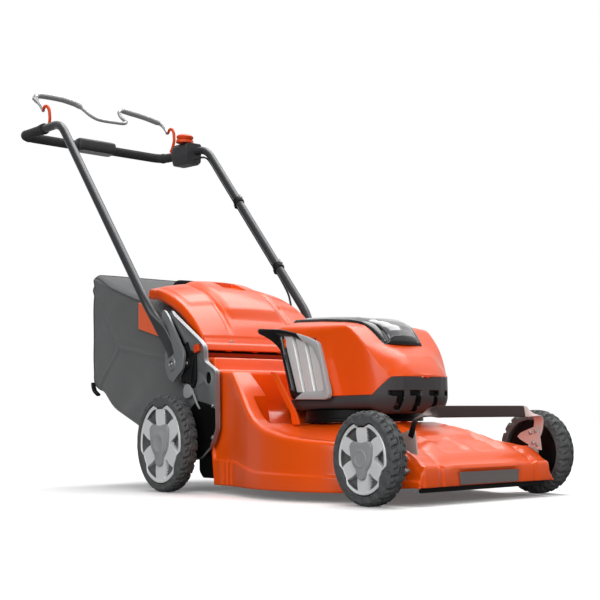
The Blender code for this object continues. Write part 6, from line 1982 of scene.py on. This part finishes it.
    def build_cap(self) -> None:
        """The cap: a shield outline, smooth over a table of radii, raised in steps to a round boss."""
        turn = turns(144)
        table = ((0, 0.44), (14, 0.45), (24, 0.51), (36, 0.585), (50, 0.585), (62, 0.49), (78, 0.42),
                 (100, 0.385), (125, 0.365), (145, 0.36), (156, 0.42), (165, 0.56), (180, 0.59))
        off = np.degrees(np.minimum(turn, 2 * np.pi - turn))
        line = read(table, off, 4.0) * self.rim
        lobe = 0.24 * self.rim
        rings = [(line, 0.012), (line, 0.0222), (line - 0.0012, 0.0236), (line * 0.86, 0.024)]
        rings += [(np.minimum(line * 0.8, lobe * 1.12), 0.024),
                  (np.minimum(line * 0.76, lobe * 1.05), 0.025)]
        boss = ((0.92, 0.0252), (0.8, 0.0252), (0.74, 0.0243), (0.2, 0.0243))
        rings += [(lobe * k, h) for k, h in boss]
        shape = Shape().rod(np.stack([self.place(h, r, turn) for r, h in rings]))
        shape.piece(f"hub_shield_{self.tag}", self.body, CAP_GREY, "cap_plastic", [f"cap_{self.tag}"],
                    sharp=34)

    def build(self) -> None:
        """Makes the tyre, the hub and the cap."""
        self.build_tyre()
        self.build_hub()
        self.build_shade_dish()
        self.build_cap()


@dataclass
class Wheels:
    """All four wheels."""

    base: float = 0.737

    def build(self) -> None:
        """Makes the front pair and the larger rear pair."""
        for side in Side:
            Wheel("front", side, 0.0, 0.09, 0.068, 0.243, 20).build()
            Wheel("rear", side, self.base, 0.1185, 0.096, 0.2515, 24).build()


# Nodes that keep their own shape


@dataclass(frozen=True)
class CarriedNodes:
    """The surfaces of the frame's nodes whose shape is kept: each finish with the nodes that it dresses."""

    looks: tuple[tuple[Finish, tuple[str, ...]], ...] = (
        (BUMPER_GREY, ("bumper_plate",)),
        (FOOT_METAL_AND_HIGHLIGHT, ("carry_foot_r", "carry_foot_l")),
        (AXLE_ZINC, ("front_axle", "rear_axle", "flap_pin", "rotor_shaft", "blade_bolt")),
        (BLADE_STEEL, ("blade",)),
        (LAMINATION, ("motor_stator",)),
        (DARK_PLASTIC, ("drive_gearbox", "battery_tray", "height_lever")),
        (BATTERY_CASE, ("battery",)),
        (BOARD_GREEN, ("control_board",)))

    def build(self, nodes: dict[str, bpy.types.Object]) -> None:
        """Puts each finish in every material slot of its nodes.

        Args:
            nodes: the frame's objects by node name.
        """
        for finish, names in self.looks:
            for name in names:
                for slot in nodes[name].material_slots:
                    slot.material = finish.make()
                LOG.info("%s: %s", name, finish.name)


# Studio


@dataclass
class Studio:
    """The pale floor, the soft lights and the camera."""

    camera_place: tuple[float, float, float] = (-1.56497, -2.28225, 0.15006)
    right: tuple[float, float, float] = (0.79055007, -0.61215944, -0.01707069)
    up: tuple[float, float, float] = (-0.06130602, -0.10684496, 0.99238386)
    lens: float = 62.3826
    sensor: float = 36.0
    shift: tuple[float, float] = (-0.00117, -0.000245)
    fill: float = 0.04
    reflected: float = 0.0
    bounce: float = 0.18

    def build_camera(self) -> None:
        """The camera, turned by its own right and up directions, and its back, their cross product."""
        data = bpy.data.cameras.new("view")
        data.lens, data.sensor_width = self.lens, self.sensor
        data.shift_x, data.shift_y = self.shift
        data.clip_start, data.clip_end = 0.05, 60.0
        right, up = np.array(self.right), np.array(self.up)
        turn = np.eye(4)
        turn[:3, 0], turn[:3, 1], turn[:3, 2] = right, up, np.cross(right, up)
        turn[:3, 3] = self.camera_place
        camera = bpy.data.objects.new("view", data)
        camera.matrix_world = Matrix(turn.tolist())
        bpy.context.scene.collection.objects.link(camera)
        bpy.context.scene.camera = camera

    def build_floor(self) -> None:
        """A wide disc whose material is white to the camera away from the object's shadow."""
        ring = spun([(0.0, 0.0), (1.5, 0.0), (4.0, 0.0), (40.0, 0.0)], 64)
        mesh = bpy.data.meshes.new("floor")
        shape = Shape().grid(ring, round_rows=True)
        mesh.from_pydata(np.vstack(shape.points).tolist(), [], shape.faces)
        floor = bpy.data.objects.new("floor", mesh)
        bpy.context.scene.collection.objects.link(floor)
        made = bpy.data.materials.new("floor_white")
        made.use_nodes = True
        n = Nodes(made.node_tree)
        shader = made.node_tree.nodes["Principled BSDF"]
        shader.inputs["Roughness"].default_value = 0.7
        shader.inputs["Emission Color"].default_value = (1.0, 1.0, 1.0, 1.0)
        path = n.add("ShaderNodeLightPath")
        seen = n.math("MULTIPLY", path.outputs["Is Camera Ray"], 0.1)
        pale = n.add("ShaderNodeMix", {"data_type": "RGBA"}, s0=path.outputs["Is Camera Ray"],
                     s6=(self.bounce, self.bounce, self.bounce, 1.0), s7=(0.93, 0.93, 0.93, 1.0))
        made.node_tree.links.new(pale.outputs[2], shader.inputs["Base Color"])
        made.node_tree.links.new(seen, shader.inputs["Emission Strength"])
        mesh.materials.append(made)

    def build_lights(self) -> None:
        """Four broad distant lamps, and a world that is white to the camera and, in reflections, white
        behind the object and dimmer on the near side."""
        for name, away, angle, power in (("overhead", (0.3, 0.12, 1.0), 50.0, 2.75),
                                         ("front", (-0.55, -1.0, 0.62), 40.0, 1.2),
                                         ("near_side", (-1.0, -0.25, 0.38), 40.0, 1.35),
                                         ("far_side", (1.0, -0.35, 0.75), 40.0, 0.3)):
            data = bpy.data.lights.new(name, "SUN")
            data.angle, data.energy = math.radians(angle), power
            lamp = bpy.data.objects.new(name, data)
            lamp.matrix_world = Vector(away).to_track_quat("Z", "Y").to_matrix().to_4x4()
            bpy.context.scene.collection.objects.link(lamp)
        world = bpy.data.worlds.new("studio")
        bpy.context.scene.world = world
        world.use_nodes = True
        n = Nodes(world.node_tree)
        path = n.add("ShaderNodeLightPath")
        mirrored_too = n.math("ADD", path.outputs["Is Glossy Ray"], path.outputs["Is Transmission Ray"])
        away = n.add("ShaderNodeVectorMath", {"operation": "DOT_PRODUCT"},
                     s0=n.add("ShaderNodeTexCoord").outputs["Generated"],
                     s1=(0.95, 0.15, 0.25)).outputs["Value"]
        wall = n.add("ShaderNodeMapRange", Value=away, From_Min=-0.35, From_Max=0.4, To_Min=self.reflected,
                     To_Max=1.0 - self.fill).outputs["Result"]
        seen = n.math("MULTIPLY", path.outputs["Is Camera Ray"], 1.0 - self.fill)
        strength = n.math("ADD", n.math("ADD", seen, self.fill), n.math("MULTIPLY", mirrored_too, wall))
        back = world.node_tree.nodes["Background"]
        back.inputs["Color"].default_value = (1.0, 1.0, 1.0, 1.0)
        world.node_tree.links.new(strength, back.inputs["Strength"])

    def build(self) -> None:
        """Sets up the whole studio and the view transform."""
        self.build_camera()
        self.build_floor()
        self.build_lights()
        bpy.context.scene.view_settings.view_transform = "Standard"


def main() -> None:
    """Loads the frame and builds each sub-assembly in order."""
    logging.basicConfig(level=logging.INFO, format="%(name)s %(message)s")
    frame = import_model()
    Studio().build()
    for part in (Deck(), LiftingBar(), Housing(), BatteryLid(), RearFlap(), GrassBag(), Bracket(Side.RIGHT),
                 Bracket(Side.LEFT), Handle(), Wheels()):
        LOG.info("building %s", type(part).__name__)
        part.build()
    CarriedNodes().build(frame["nodes"])


if __name__ == "__main__":
    main()
